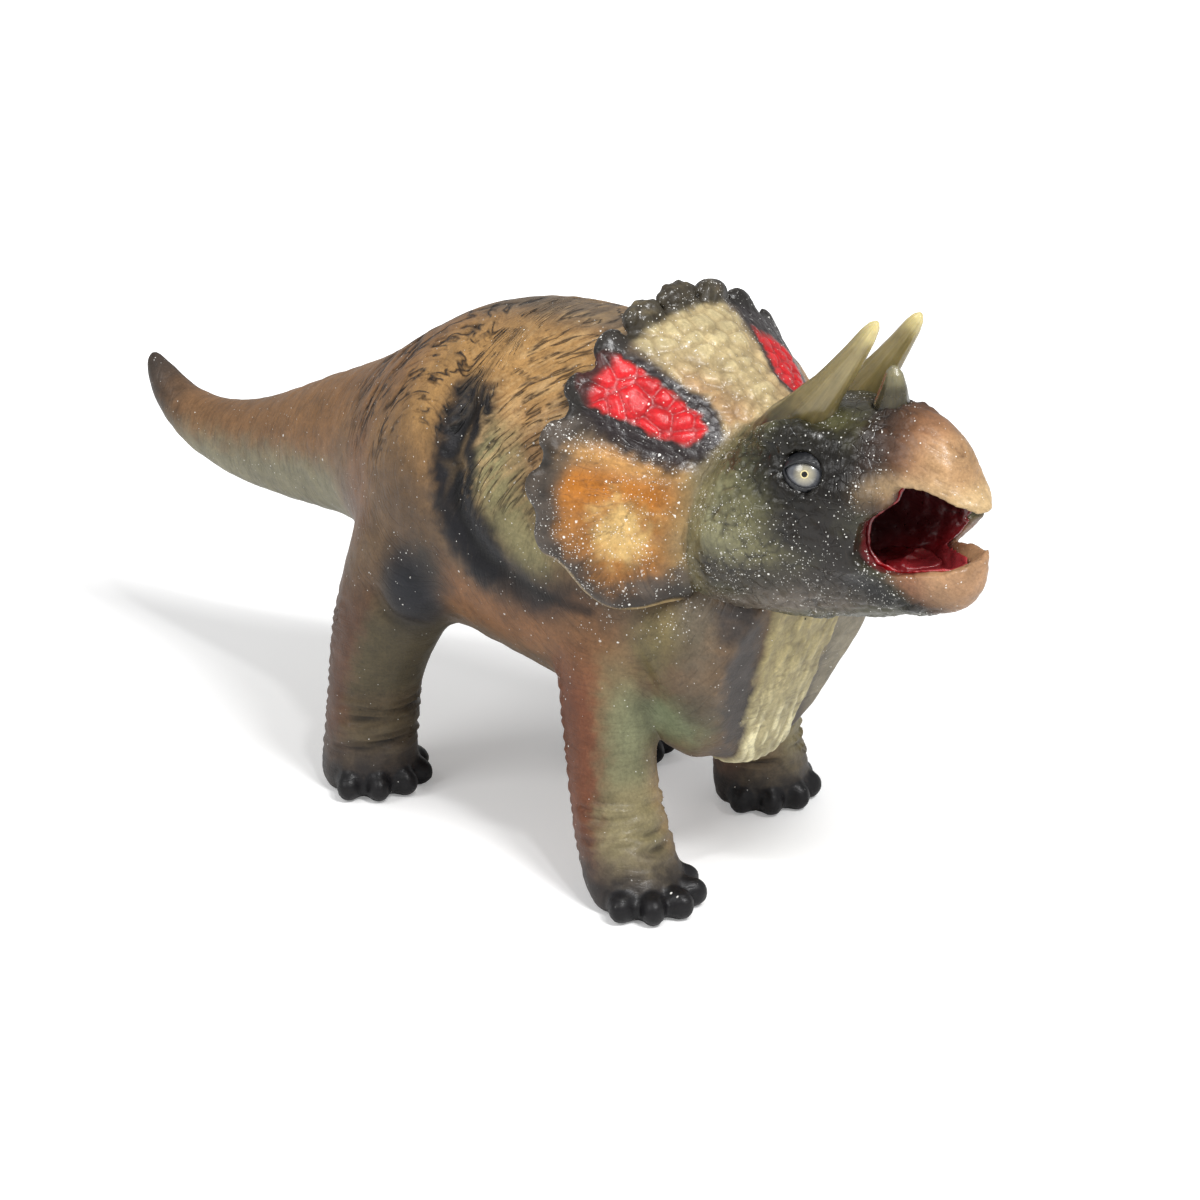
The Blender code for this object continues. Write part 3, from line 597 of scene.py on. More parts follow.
def fibre_material():
    """Loose white polyester fibre."""
    graph = Graph("fibre_fill")
    strands = graph.grain(700, 5, 0.7)
    tuft = graph.grain(120, 4, 0.6)
    shade = graph.spread(tuft, 0.3, 0.7, 0.86, 1.05)
    return graph.finish(
        Base_Color=graph.blend("MULTIPLY", 1.0, rgba("e6e4dd"), shade),
        Roughness=graph.spread(strands, 0.2, 0.8, 0.85, 1.0),
        Normal=graph.bump(tuft, 1.5, 0.6, graph.bump(strands, 0.8, 0.9)),
        Sheen_Weight=0.4,
    )


def dress(piece, material, nodes=()):
    piece.data.materials.clear()
    piece.data.materials.append(material)
    piece.data.shade_smooth()
    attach(piece, "root")
    if nodes:
        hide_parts(*nodes)


# Body


def leg_frames(skin, owner):
    """For each leg: its share of the skin, the place ahead of its axis and its thickness."""
    z = skin.at[:, 2]
    made = []
    for name, (foot, hip, radius, axis) in LEGS.items():
        own = skin.soften(owner == BODY_NODES.index(name), 14)
        shift = np.interp(z / hip[2], *axis)
        made.append((name, own, skin.at[:, 0] - foot[0] - (hip[0] - foot[0]) * shift, radius))
    return made


def nail_distance(skin):
    """Distance from the nearest nail's middle, 1 on its surface."""
    best = np.full(skin.count, 9.0)
    for foot, _, radius, _ in LEGS.values():
        for i in range(TOE_COUNT):
            angle = (i - (TOE_COUNT - 1) / 2) * TOE_PITCH / radius
            aim = np.array((math.cos(angle), math.sin(angle), 0))
            away = skin.at - np.array((*foot, 4.75)) - aim * radius
            along = away @ aim
            across = away @ np.array((-aim[1], aim[0], 0))
            reach = np.stack([along / 6.6, across / 5.0, away[:, 2] / 5.6])
            best = np.minimum(best, np.linalg.norm(reach, axis=0))
    return best


def flatten_chest(skin, own, room=0.0):
    """Moves the chest back to a broad front that leans under the toy, and room further in.

    Without room it also fills out the sides of the chest and lowers its corners.
    """
    x, y, z = skin.at.T
    side = np.abs(y)
    free = ramp(skin.nearest(("front_left_leg", "front_right_leg"))[1], 1, 12)
    half_width = np.interp(z, (37, 50, 65, 80, 105), (11, 24, 32, 32, 29))
    front = 102 + (z - 36.6) * 0.356 - np.maximum(side - half_width, 0) ** 2 / 20 - 0.1 * side
    move = np.minimum(front - room - x, 0) * own * free * ramp(x, 80, 96) * band(z, 34, 108, 5)
    skin.at[:, 0] += skin.soften(move, 6)
    if room == 0:
        wide = own * ramp(x, 80, 106) * band(z, 64, 96, 15) * band(side, 12, 50, 8)
        skin.at[:, 1] += skin.soften(wide * np.where(y > 0, 11.0, -8.0 * free), 12)
        low = ((x - 95) / 11) ** 2 + ((side - 25) / 9) ** 2 + ((z - 55) / 10) ** 2
        skin.at[:, 2] -= 7.0 * own * np.exp(-low)
    skin.write()


def build_body():
    nodes = BODY_NODES + ("filling_patch",) + STUFFED_NODES[:2] + STUFFED_NODES[3:]
    skin = dense_skin("body_hide", nodes, BODY_VOXEL)
    feet = 1 - ramp(skin.at[:, 2], 9, 16)
    skin.relax(44, 0.5, 1 - 0.93 * feet)
    owner, _ = skin.nearest(BODY_NODES)
    leg = skin.soften(owner >= 2, 14)
    tail = 1 - ramp(skin.at[:, 0], -66, -50)
    flatten_chest(skin, skin.soften(owner == 0, 3))

    flank = skin.folded()
    x, y, z = flank.T
    stripe, _ = path_distance(flank, smooth_path(FOLD_STRIPE))
    knee = np.linalg.norm((flank - KNEE) / (1.0, 1.0, 1.35), axis=1)
    shape = 4.0 * np.exp(-((knee / 9.5) ** 2))
    shape -= 2.4 * np.exp(-((stripe / 4.2) ** 2)) * (1 - ramp(x, 40, 62))
    shape += 1.3 * near_path(flank, (0, 42, 128), 22)
    crease = ((-17, 52, 77), (-12, 51, 71), (-6, 48, 67.5), (-1, 42, 64.5))
    shape -= 2.2 * near_path(flank, crease, 2.6)
    skin.push(skin.soften(shape, 2))

    # Lines in the rubber: rings on the tail and legs, arcs over the hip, a fan on the shoulder
    round_hip = np.hypot(x + 1, (z - 121) * 0.95)
    hip_arcs = np.hypot(round_hip, 22)
    shoulder_fan = 86 - np.hypot(x - 78, z - 104)
    ahead = ramp(x, 8, 28)
    flow = hip_arcs * (1 - ahead) + shoulder_fan * ahead
    flow = flow * (1 - tail) + (-x - 20) * tail
    low = leg * (1 - ramp(z, 48, 82))
    flow = flow * (1 - low) + (z - 40) * low
    along = np.stack([flow / 3.0, x / 15, (y + z) / 15], axis=1)
    fine = grooves(along, 1.0)
    broad = grooves(along, (1.9, 1.2, 1.2), 5.1)
    hip = band(z, 122, 185, 12) * (1 - ramp(x, 12, 24)) * ramp(x, -62, -42) * ramp(round_hip, 10, 22)
    shoulder = ahead * ramp(z, 106, 134) * (1 - ramp(x, 64, 80))
    rings = crests(flank, (22, 22, 3.2), 2.7) * low
    rough = waves(flank, 5.0, 3.3)
    lined = 0.15 + 0.85 * np.maximum(hip, 0.8 * shoulder)
    patchy = ramp(waves(flank, 9.0, 7.7), -0.35, 0.10)
    fine, broad = fine * patchy, broad * ramp(waves(flank, 12.0, 2.9), -0.2, 0.2)
    height = 0.26 * rough - lined * 0.5 * fine - (0.1 + 0.7 * hip) * 0.8 * broad

    # Legs, with creased wrists and ankles, and the row of nails on each foot
    legs = leg_frames(skin, owner)
    wrists = np.zeros(skin.count)
    for _, own, ahead_of, radius in legs:
        wrists += own * band(z, 15, 36, 4) * ramp(ahead_of, -7, 3)
        hem = own * (1 - ramp(ahead_of, -radius * 0.75, -radius * 0.35)) * band(z, 12, 70, 6)
        height += hem * 0.40 * np.sin(z * 1.7 + 4.5 * waves(flank, 9.0, 1.9))
    height += wrists * 0.9 * rings
    nail = nail_distance(skin)
    nails = 1 - ramp(nail, 0.92, 1.22)
    between = band(nail, 1.18, 1.55, 0.14) * feet * (z < 10)
    height = height * (1 - 0.6 * nails) + 0.1 * nails - 0.25 * between

    # Breastbone plate with a ragged edge, long strips and faint blocks
    ragged = 1.8 * waves(flank, 6.0, 8.1) + 1.6 * waves(flank, (2.0, 2.0, 4.5), 3.9)
    half_width = np.interp(z, (36, 60, 95), (10, 14, 18.5)) + ragged
    keel = (1 - ramp(y, half_width - 1.2, half_width + 1.2)) * ramp(x, 84, 96) * band(z, 30, 104, 4)
    blocks = scales(flank, (8.0, 8.0, 11.0), 4.4)
    strip = ramp(waves(flank, (3.0, 2.0, 16.0), 6.6), -0.1, 0.3)
    height = height * (1 - 0.6 * keel) + keel * (1.0 + 0.25 * blocks + 0.3 * strip)
    frill_gap = skin.nearest(("neck_frill",))[1]
    height = np.minimum(height, 0.25 + ramp(frill_gap, 0, 3) * 3)
    skin.push(height)
    skin.at[:, 2] = np.maximum(skin.at[:, 2], 0.02)
    skin.write()
    relief = 0.58 - lined * 0.42 * fine - (0.05 + 0.45 * hip) * broad + 0.35 * wrists * rings
    relief = relief * (1 - 0.5 * nails) - 0.4 * between
    relief = relief * (1 - 0.8 * keel) + keel * (0.36 + 0.18 * strip)
    relief -= 0.45 * np.exp(-((stripe / 2.5) ** 2))

    brush = Airbrush(skin, "8a6a46")
    brush.mix("68543f", 1 - ramp(z, 92, 128))
    brush.strokes(
        (
            ("7c5939", 0.80, 26, 0.8, ((-48, 15, 128), (-35, 22, 142), (-20, 22, 152))),
            # Ochre band on the upper flank, partly the toy's paint and partly a painted highlight.
            ("ac8450", 0.85, 24, 0.8, ((2, 30, 152), (28, 30, 158), (55, 28, 160))),
            ("a27c4a", 0.60, 17, 0.8, ((2, 42, 138),)),
            ("58432e", 0.80, 22, 0.8, ((-8, 46, 112), (4, 48, 98))),
            ("755238", 0.70, 15, 0.8, ((-38, 36, 118), (-36, 42, 98))),
            ("64584a", 0.80, 15, 0.7, ((-4, 0, 169), (20, 0, 172), (50, 0, 172), (80, 0, 166))),
            ("3c342c", 0.75, 14, 0.8, ((58, 32, 162), (62, 44, 152))),
            ("8d8760", 0.85, 15, 0.8, ((30, 50, 136), (38, 53, 122), (52, 54, 110))),
            ("835a38", 0.90, 17, 0.8, ((18, 50, 84), (38, 50, 82), (62, 47, 84))),
            ("232123", 0.95, 12, 0.9, ((26, 53, 109), (36, 53, 101), (50, 51, 96), (70, 46, 92))),
            ("42372f", 0.75, 14, 0.9, FOLD_STRIPE[:6]),
            ("121217", 0.98, 11.5, 0.5, FOLD_STRIPE[:6]),
            ("2a2926", 0.85, 13, 0.8, ((-2, 49, 84), (6, 50, 91))),
            ("86603f", 0.85, 17, 0.8, ((72, 47, 82), (78, 46, 66))),
            ("736a45", 0.80, 12, 0.8, ((92, 38, 84), (98, 35, 92))),
            ("7d8769", 0.85, 14, 0.8, ((88, 38, 58), (97, 33, 60))),
            ("5f574a", 0.80, 9, 0.7, ((106, 34, 100), (106, 33, 84), (104, 30, 66))),
            ("3a3737", 0.90, 9, 0.6, ((116, 26, 98), (113, 24, 80), (107, 18, 62), (100, 14, 50))),
        )
    )
    # Pale dry-brushed streaks along the shoulder fan, which also stand as painted highlight.
    flow_streaks = crests(along, 1.0, 8.8)
    brush.mix("3c2c1e", hip * broad * 0.8)
    shoulder_drybrush_and_highlight = shoulder * band(z, 118, 172, 8)
    brush.mix("c09f70", shoulder_drybrush_and_highlight * ramp(flow_streaks, 0.3, 0.95) * 0.5)
    far_chest = ramp(skin.at[:, 1], 12, 22) * ramp(x, 86, 98) * band(z, 50, 104, 6)
    brush.mix("8f8670", far_chest * 0.85)
    brush.mix("b9aa78", keel * 0.97)
    brush.mix("efe6bb", keel * (0.45 + 0.55 * strip) * (1 - ramp(z, 44, 84)) * 0.85)
    brush.mix("6b5b45", keel * (1 - ramp(blocks, 0.0, 0.3)) * 0.35)
    brush.mix("8a7f5e", keel * (1 - strip) * 0.5)

    # Tail: brown above, grey-green below, dark at the tip
    axis = np.interp(-x, (57, 90, 130, 160, 175, 185), (104, 100, 92, 89, 94, 108))
    brush.mix("84603f", tail * 0.75)
    brush.mix("838068", tail * (1 - ramp(z - axis + brush.grain * 2, -9, 6)) * 0.9)
    brush.mix("3b3531", (1 - ramp(x + brush.grain * 3, -178, -150)) * 0.92)

    # Legs: red-brown behind, olive in front, dark feet with black nails
    for name, own, ahead_of, _ in legs:
        in_front = name.startswith("front")
        own = own * (1 - ramp(z, 62, 92))
        border = np.interp(z, (20, 50), (3, 8)) if in_front else 3
        past = ahead_of + brush.grain * 2 - border
        before = ramp(past, -4, 5)
        rear, top, bottom = FRONT_LEG_PAINT if in_front else HIND_LEG_PAINT
        brush.mix(rear, own * (1 - ramp(past, -5, 5)) * 0.9)
        brush.mix(top, own * before * ramp(z, 30, 42) * 0.85)
        brush.mix(bottom, own * before * (1 - ramp(z, 32, 44)) * 0.9)
        if in_front:
            brush.mix("85583c", own * ramp(41 - y, 0, 9) * band(z, 12, 50, 6) * (1 - 0.7 * before))
        brush.mix("4a4038", own * (1 - ramp(z + brush.grain * 3, 13, 27)) * 0.8)
        brush.mix("282423", own * (1 - ramp(z + brush.grain * 3, 8, 18)) * 0.92)
    brush.mix("1c1e25", np.exp(-((knee / 12.5) ** 4)) * 0.95)
    brush.mix("18171a", ramp(nails, 0.2, 0.8) * 0.95)

    skin.attribute("Paint", brush.paint)
    skin.attribute("Relief", np.clip(relief, 0, 1))
    skin.attribute("Flow", flow)
    lines = np.maximum(hip, 0.7 * shoulder) + 0.18 * (1 - low)
    skin.attribute("Lines", np.clip(lines, 0.12, 1) * (1 - keel) + 0.25 * keel)
    skin.attribute("Scaly", np.full(skin.count, 0.15))
    skin.attribute("Wet", (0.70 - 0.62 * ramp(frill_gap, 2, 26)) * (1 - 0.6 * low) * (1 - 0.8 * keel))
    material = hide_material("body_paint", 0.46, 0.22)
    dress(skin.piece, material, BODY_NODES)


# Head with its frill


def move_mouth(skin):
    """Draws the corners of the mouth forward, lifts the jaw's front and hooks the beak.

    The far cheek comes further forward than the near one, and the far lip is lifted.
    """
    x, y, z = skin.at.T
    corner = np.exp(-(((x - 151) / 9) ** 2) - ((z - 129) / 8) ** 2)
    arch = np.exp(-(((x - 154) / 9) ** 2) - ((z - 145) / 6) ** 2)
    far_cheek = ramp(y, 2, 12) * ramp(x, 132, 152) * (1 - ramp(x, 152, 187)) * band(z, 124, 142, 7)
    lip = ramp(z, 110, 121) * (1 - ramp(z, 127, 136))
    narrow = np.exp(-((y / 9) ** 2))
    hook = ramp(x, 170, 183) * band(z, 141, 156, 3) * narrow
    point = ramp(x, 165, 175) * band(z, 139, 149, 3) * narrow
    blunt = ramp(x, 158, 176) * (1 - ramp(z, 114, 124))
    near_cheek = 1 - ramp(y, 0, 8)
    far_lip = ramp(y, 2, 12) * ramp(x, 154, 172) * band(z, 112, 130, 6)
    skin.at[:, 2] += 3.5 * far_lip
    skin.at[:, 0] += (6.0 * corner + 8.0 * arch) * near_cheek + 19.0 * far_cheek
    skin.at[:, 0] += 4.5 * point + 4.5 * blunt
    skin.at[:, 1] *= 1 - 0.3 * point
    skin.at[:, 2] += lip * 5.5 * ramp(x, 160, 178) - 1.5 * hook - 4.5 * corner * near_cheek
    skin.write()


def build_head():
    outer = ("head_skin", "neck_frill", "torso_skin")
    skin = dense_skin("head_hide", outer + ("head_stuffing", "torso_stuffing"), HEAD_VOXEL)
    _, gap = skin.nearest(outer[:2])
    skin.keep((gap < 6.5) & (skin.at[:, 0] > 50))
    skin.relax(10, 0.5)
    owner, _ = skin.nearest(outer)
    _, gap = skin.nearest(outer[:2])
    sunk = ramp(gap, 0.6, 4.0)
    frill = skin.soften(owner == 1, 5)
    edge, along_edge = path_distance(skin.folded(), smooth_path(FRILL_EDGE))
    skin.even_out(300, frill * (1 - ramp(edge, 11, 16)) * ramp(along_edge, 0.15, 0.27))
    swell = frill * (1 - ramp(edge, 8, 18)) * ramp(along_edge, 0.36, 0.55)
    away = skin.folded() - (88, 34, 134)
    away *= (swell * 3.2 / np.linalg.norm(away, axis=1))[:, None]
    away[:, 1] *= np.sign(skin.at[:, 1])
    skin.at += away
    move_mouth(skin)
    flatten_chest(skin, skin.soften(owner == 2, 3), 5.0)

    flank = skin.folded()
    x, y, z = flank.T
    normal = skin.normals()
    side = np.where(skin.at[:, 1] >= 0, 1.0, -1.0)
    facing = normal[:, 0] * 0.6 + normal[:, 1] * side * 0.5 + normal[:, 2] * 0.55
    facing_out = normal[:, 1] * side
    face = frill * ramp(facing, 0.0, 0.3)
    grain = waves(flank, 2.4, 1.7) + waves(flank, 6.0, 4.2)
    red_path = smooth_path(RED_PATCH)
    left_shift = np.stack([0 * y, 7.0 * (side > 0), -1.5 * (side > 0)], axis=1)
    red_gap, along_red = path_distance(flank + left_shift, red_path)
    red_size = np.where(side > 0, 9.5 - 1.0 * along_red, 8.0 - 2.6 * along_red)
    red = face * (1 - ramp(red_gap + grain * 1.1, red_size, red_size + 1.8))
    red *= np.where(side > 0, ramp(along_red + grain * 0.05, 0.28, 0.42), 1)
    ring_gap, _ = path_distance(flank + left_shift, red_path + (-1.5, 2.5, -2.5))
    ring = face * (1 - ramp(ring_gap + grain * 1.6, 9.5, 15.0))
    ring = np.maximum(ring, face * (1 - ramp(red_gap + grain, 10.0, 14.0)))
    inner = 1 - ramp(y + left_shift[:, 1] + grain * 1.5, 19, 27)
    crown = face * inner * (1 - ring) * ramp(z, 148, 156)
    lobe_gap = np.linalg.norm((flank - (87, 47.5, 125)) / (1.0, 1.0, 1.1), axis=1) + grain * 1.8
    lobe = face * (1 - ramp(lobe_gap, 19, 27)) * (1 - ring)
    seam = 1 - ramp(skin.nearest(("head_skin",))[1], 1, 12)
    seam *= 1 - ramp(skin.nearest(("neck_frill",))[1], 1, 10)

    # Forms of the frill
    plates = scales(flank, 7.0, 1.3)
    cobble = skin.soften(scales(flank, 5.8, 7.9), 1)
    crackle = scales(flank, 4.2, 5.7) * np.exp(-((lobe_gap / 13) ** 2)) * face
    ridge_line = ((98, 33, 141), (88, 42, 143), (78, 48, 146), (68, 55, 147))
    ridge = near_path(flank, ridge_line, 3.6) * face
    spokes = grooves(np.stack([along_edge * 30, edge / 26, y / 40], axis=1), 1.0, 2.2)
    height = red * (0.9 * plates - 0.2) + crown * (1.1 * cobble - 0.3 + 0.4 * waves(flank, 9.0, 5.5))
    height += 1.5 * ridge + 0.35 * crackle
    height -= 1.3 * np.exp(-((lobe_gap / 14) ** 2)) * face
    height -= lobe * 0.2 * spokes
    height += (ring - red) * 0.2 * scales(flank, 4.2, 3.3)
    height += face * 0.30 * waves(flank, 4.5, 6.1) * (1 - red) * (1 - 0.5 * ring)

    # Forms of the head
    beak = ramp(x + 0.25 * (z - 150) + grain * 0.6, 160.5, 167.0) * ramp(z, 138, 143)
    jaw = ramp(x + 0.9 * np.minimum(z - 119, 0) + grain, 161, 170) * (1 - ramp(z, 128, 134))
    bare = np.clip(beak + jaw, 0, 1)
    head = (1 - frill) * (1 - bare)
    pebble = 1 - 2 * cells(flank, 2.3, 0.6)[0]
    knob = 1 - 2 * cells(flank, 5.2, 9.1)[0]
    cracked = ramp(waves(flank, 16.0, 4.9), -0.25, 0.15) * (1 - ramp(x, 138, 150))
    crack = (1 - ramp(scales(flank, 5.4, 3.7), 0.0, 0.75)) * cracked
    lines = np.stack([(x + 0.3 * z + 3 * waves(flank, 12.0, 1.3)) / 4.5, z / 22, y / 22], axis=1)
    fold = grooves(lines, 1.0, 3.1) * ramp(waves(flank, 10.0, 6.9), -0.1, 0.3)
    lumps = waves(flank, 5.5, 2.2)
    height += head * (0.32 * pebble - 0.30 * fold - 0.50 * crack + 0.55 * lumps)
    height += 1.3 * knob * near_path(flank, ((153, 0, 167), (157, 4, 167), (160, 8, 164)), 6)
    chin = near_path(flank, ((148, 18, 112), (158, 14, 111), (170, 9, 111)), 5)
    height += chin * (1.2 * scales(flank, 5.2, 6.2) - 0.2)
    collar = near_path(flank, ((119, 12.6, 153), (126, 12.6, 162)), 12)
    height += 1.6 * collar * (1 + 0.5 * lumps) * (1 - frill)
    slit = path_distance(flank, ((168.2, 5.9, 165.5), (173.5, 3.0, 162.6), (179.0, 0.6, 158.9)))[0]
    height -= 0.45 * np.exp(-((slit / 0.9) ** 2))
    fibres = crests(np.stack([(z + 0.55 * x) / 1.5, (x - z) / 16, y / 3.0], axis=1), 1.0, 0.4)
    height += bare * 0.16 * fibres
    brow = ((124, 17, 157), (134, 21, 160), (146, 20, 160), (152, 14, 164))
    height += 1.2 * near_path(flank, brow, 4.2)
    socket = np.linalg.norm(flank - (136.9, 20.5, 147.9), axis=1)
    height += 0.7 * np.exp(-(((socket - 9.6) / 1.5) ** 2))
    skin.push(height * (1 - sunk) - 3.0 * sunk)

    relief = 0.52 + head * (0.16 * pebble - 0.16 * fold - 0.30 * crack) + red * (0.20 * plates - 0.16)
    relief += crown * (0.22 * cobble - 0.20) - lobe * 0.2 * spokes + bare * 0.12 * fibres
    relief -= 0.12 * np.exp(-((slit / 0.8) ** 2))

    brush = Airbrush(skin, "46452f")
    brush.strokes(
        (
            ("757150", 0.90, 19, 0.8, ((108, 33, 134), (118, 35, 130), (126, 32, 126))),
            ("8a8766", 0.70, 10, 0.8, ((112, 35, 134), (118, 36, 126))),
            ("6f6d4c", 0.85, 11, 0.8, ((122, 24, 160), (136, 22, 162), (148, 17, 162))),
            ("332f29", 0.80, 12, 0.8, ((112, 8, 158), (128, 0, 162), (145, 0, 166), (156, 0, 170))),
            ("1a120a", 0.96, 15, 0.8, ((148, 23, 146), (155, 18, 153), (157, 12, 160))),
            ("17110f", 0.95, 14, 0.8, ((141, 30, 134), (150, 22, 130), (152, 20, 122))),
            ("332c27", 0.85, 10, 0.8, ((112, 34, 116), (130, 29, 115), (148, 21, 118))),
            ("6a6056", 0.85, 9, 0.8, ((112, 28, 104), (130, 25, 105), (148, 18, 108))),
            ("4a443d", 0.80, 7, 0.8, ((148, 17, 114), (158, 13, 113))),
        )
    )
    # Dark paint round the eye, heaviest above it, where it stands as painted shade under the brow.
    eye_gap = np.linalg.norm((flank - (140.5, 26.0, 153.5)) / (1.25, 1.0, 1.0), axis=1)
    eye_dark_and_shade = 1 - ramp(eye_gap + brush.grain * 1.5, 9, 20)
    brush.mix("0f0b07", eye_dark_and_shade * 0.96)
    beak_run = x + 0.25 * (z - 150) + grain * 1.2
    above = ramp(z, 138, 143)
    brush.mix("2e2019", ramp(beak_run, 152, 161) * above * 0.9)
    brush.mix("5a3c28", ramp(beak_run, 159, 168) * above * 0.9)
    brush.mix("93694a", ramp(beak_run, 165, 174) * above * 0.9)
    brush.mix("ae8a63", ramp(beak_run, 168, 178) * above * ramp(171 - z, 2, 12) * 0.95)
    lip_line = ((158, 18, 146), (163, 16, 149), (170, 13, 150), (177, 9, 149))
    brush.mix("bfa27a", near_path(flank, lip_line, 3.6) * 0.85)
    brush.mix("d0b385", ramp(x, 177, 185) * above * (1 - ramp(z, 146, 154)) * 0.8)
    brush.mix("9b6d50", jaw * 0.95)
    brush.mix("b08c68", jaw * ramp(x, 170, 179) * 0.7)
    chin_line = ((153, 18, 121), (160, 15, 115), (168, 11, 110), (178, 7, 108))
    brush.mix("121214", near_path(flank, chin_line, 5.5) * 0.95)
    brush.mix("6b4630", np.exp(-((slit / 0.7) ** 2)) * 0.5)

    # Frill paint: dark rim, pale crown, red patches ringed with dark, amber lobes
    brush.mix("54473a", frill)
    brush.mix("5a4c3c", face)
    brush.mix("b7a47a", crown * 0.96)
    brush.mix("cdbd90", crown * ramp(cobble, 0.4, 1.0) * 0.6)
    brush.mix("a67a54", crown * near_path(flank, ((100, 14, 155), (90, 20, 162)), 9) * 0.7)
    brush.mix("9c6830", lobe * 0.92)
    brush.mix("b06c20", lobe * near_path(flank, ((98, 40, 136), (86, 48, 138), (74, 54, 138)), 8) * 0.9)
    brush.mix("cfae70", face * (1 - ramp(lobe_gap + grain * 2, 3, 13)) * 0.85)
    brush.mix("8a6a3c", crackle * (1 - ramp(scales(flank, 4.2, 5.7), 0.0, 0.5)))
    brush.mix("c4955a", ridge * 0.8)
    brush.mix("1c1418", np.clip(ring - red, 0, 1) * (1 - crown) * 0.95)
    brush.mix("cc1c24", red * 0.98)
    brush.mix("7a1018", red * (1 - ramp(plates, 0.0, 0.3)) * 0.45)
    brush.mix("857a56", seam * (1 - crown) * (1 - ring) * ramp(z, 100, 112) * (1 - bare) * 0.65)
    low_rim = ramp(along_edge, 0.25, 0.4)
    rim_size = 4.0 + 1.0 * low_rim + 3.0 * ramp(along_edge, 0.62, 0.8)
    rim = frill * (1 - ramp(edge + grain * (1 + low_rim), rim_size, rim_size + 3.5 + 4.0 * low_rim))
    brush.mix("262320", rim * 0.93)
    brush.mix("5a4f45", rim * low_rim * ramp(waves(flank, 7.0, 3.8), -0.3, 0.4) * 0.7)
    hem = frill * band(facing, -0.10, 0.25, 0.12) * ramp(along_edge, 0.66, 0.74)
    brush.mix("b59c70", hem * (1 - ramp(edge, 5, 7)) * 0.85)
    lining_gap = skin.nearest(("mouth_lining",))[1]
    inner_cheek = (1 - ramp(lining_gap, 3.5, 6.0)) * (1 - ramp(facing_out, 0.1, 0.5))
    brush.mix("5c171b", inner_cheek * band(x, 146, 182, 4) * band(z, 121, 146, 3) * (1 - frill))
    brush.mix("b3202a", (1 - ramp(lining_gap, 0.9, 1.9)) * (1 - frill))

    flow = (x + 0.3 * z) * (1 - bare) + (z * 2 + x) * bare
    flow = flow * (1 - frill) + (along_edge * 90) * frill
    skin.attribute("Paint", brush.paint)
    skin.attribute("Relief", np.clip(relief, 0, 1))
    skin.attribute("Flow", flow)
    skin.attribute("Lines", 0.2 - 0.08 * bare + 0.05 * lobe)
    skin.attribute("Scaly", head + 0.5 * lobe)
    wet = (1 - 0.85 * bare) * (1 - 0.65 * crown) * (1 - 0.45 * red) * (1 + 0.3 * rim)
    skin.attribute("Wet", wet * (1 - 0.45 * ring) * (1 - 0.55 * eye_dark_and_shade))
    material = hide_material("head_paint", 0.38, 0.36)
    dress(skin.piece, material, ("head_skin", "neck_frill"))


# Horns


def shell(name, loops, ends=True):
    """Closed mesh over rings of points in millimetres, capped at the ends or joined to a ring."""
    form = bmesh.new()
    rows = [[form.verts.new(Vector(point) * MM) for point in loop] for loop in loops]
    sides = len(rows[0])
    pairs = list(zip(rows, rows[1:]))
    if not ends:
        pairs.append((rows[-1], rows[0]))
    for near, far in pairs:
        for k in range(sides):
            after = (k + 1) % sides
            form.faces.new((near[k], near[after], far[after], far[k]))
    if ends:
        for row in (rows[0], rows[-1]):
            tip = form.verts.new(sum((v.co for v in row), Vector()) / sides)
            for k in range(sides):
                form.faces.new((row[k], row[(k + 1) % sides], tip))
    bmesh.ops.recalc_face_normals(form, faces=form.faces)
    return add_piece(name, form)


def build_horn(name, root, tip, radii, width_share, bend, colours, seed, material, slot):
    root, tip = Vector(root), Vector(tip)
    run = (tip - root).normalized()
    across = Vector((0, 1, 0))
    ahead = across.cross(run).normalized()
    shares, sizes = zip(*radii)
    steps, sides = 60, 56
    loops = []
    for i in range(steps + 1):
        t = 1 - (1 - i / steps) ** 1.25
        radius = float(np.interp(t, shares, sizes))
        centre = root.lerp(tip, t) - ahead * bend * math.sin(math.pi * t)
        loop = []
        for k in range(sides):
            angle = 2 * math.pi * k / sides
            c, s = math.cos(angle), math.sin(angle)
            ridge = 1 - 2 * abs(noise.noise((c * 2.2, s * 2.2, t * 2.5 + seed)))
            offset = ahead * c + across * s * width_share
            loop.append(centre + offset * radius * (0.97 + 0.07 * ridge))
        loops.append(loop)
    skin = Skin(shell(name + "_dressed", loops))
    away = skin.at - np.array(root)
    t = away @ np.array(run) / (tip - root).length
    t = t + waves(skin.at, 2.5, seed) * 0.06
    paint = np.tile(linear(colours[0]), (skin.count, 1))
    for colour, low, high in colours[1:]:
        mask = ramp(t, low, high)[:, None]
        paint = paint * (1 - mask) + linear(colour) * mask
    skin.attribute("Paint", paint)
    skin.attribute("Flow", np.arctan2(away @ np.array(ahead), away @ np.array(across)) * 5)
    dress(skin.piece, material, (name,))


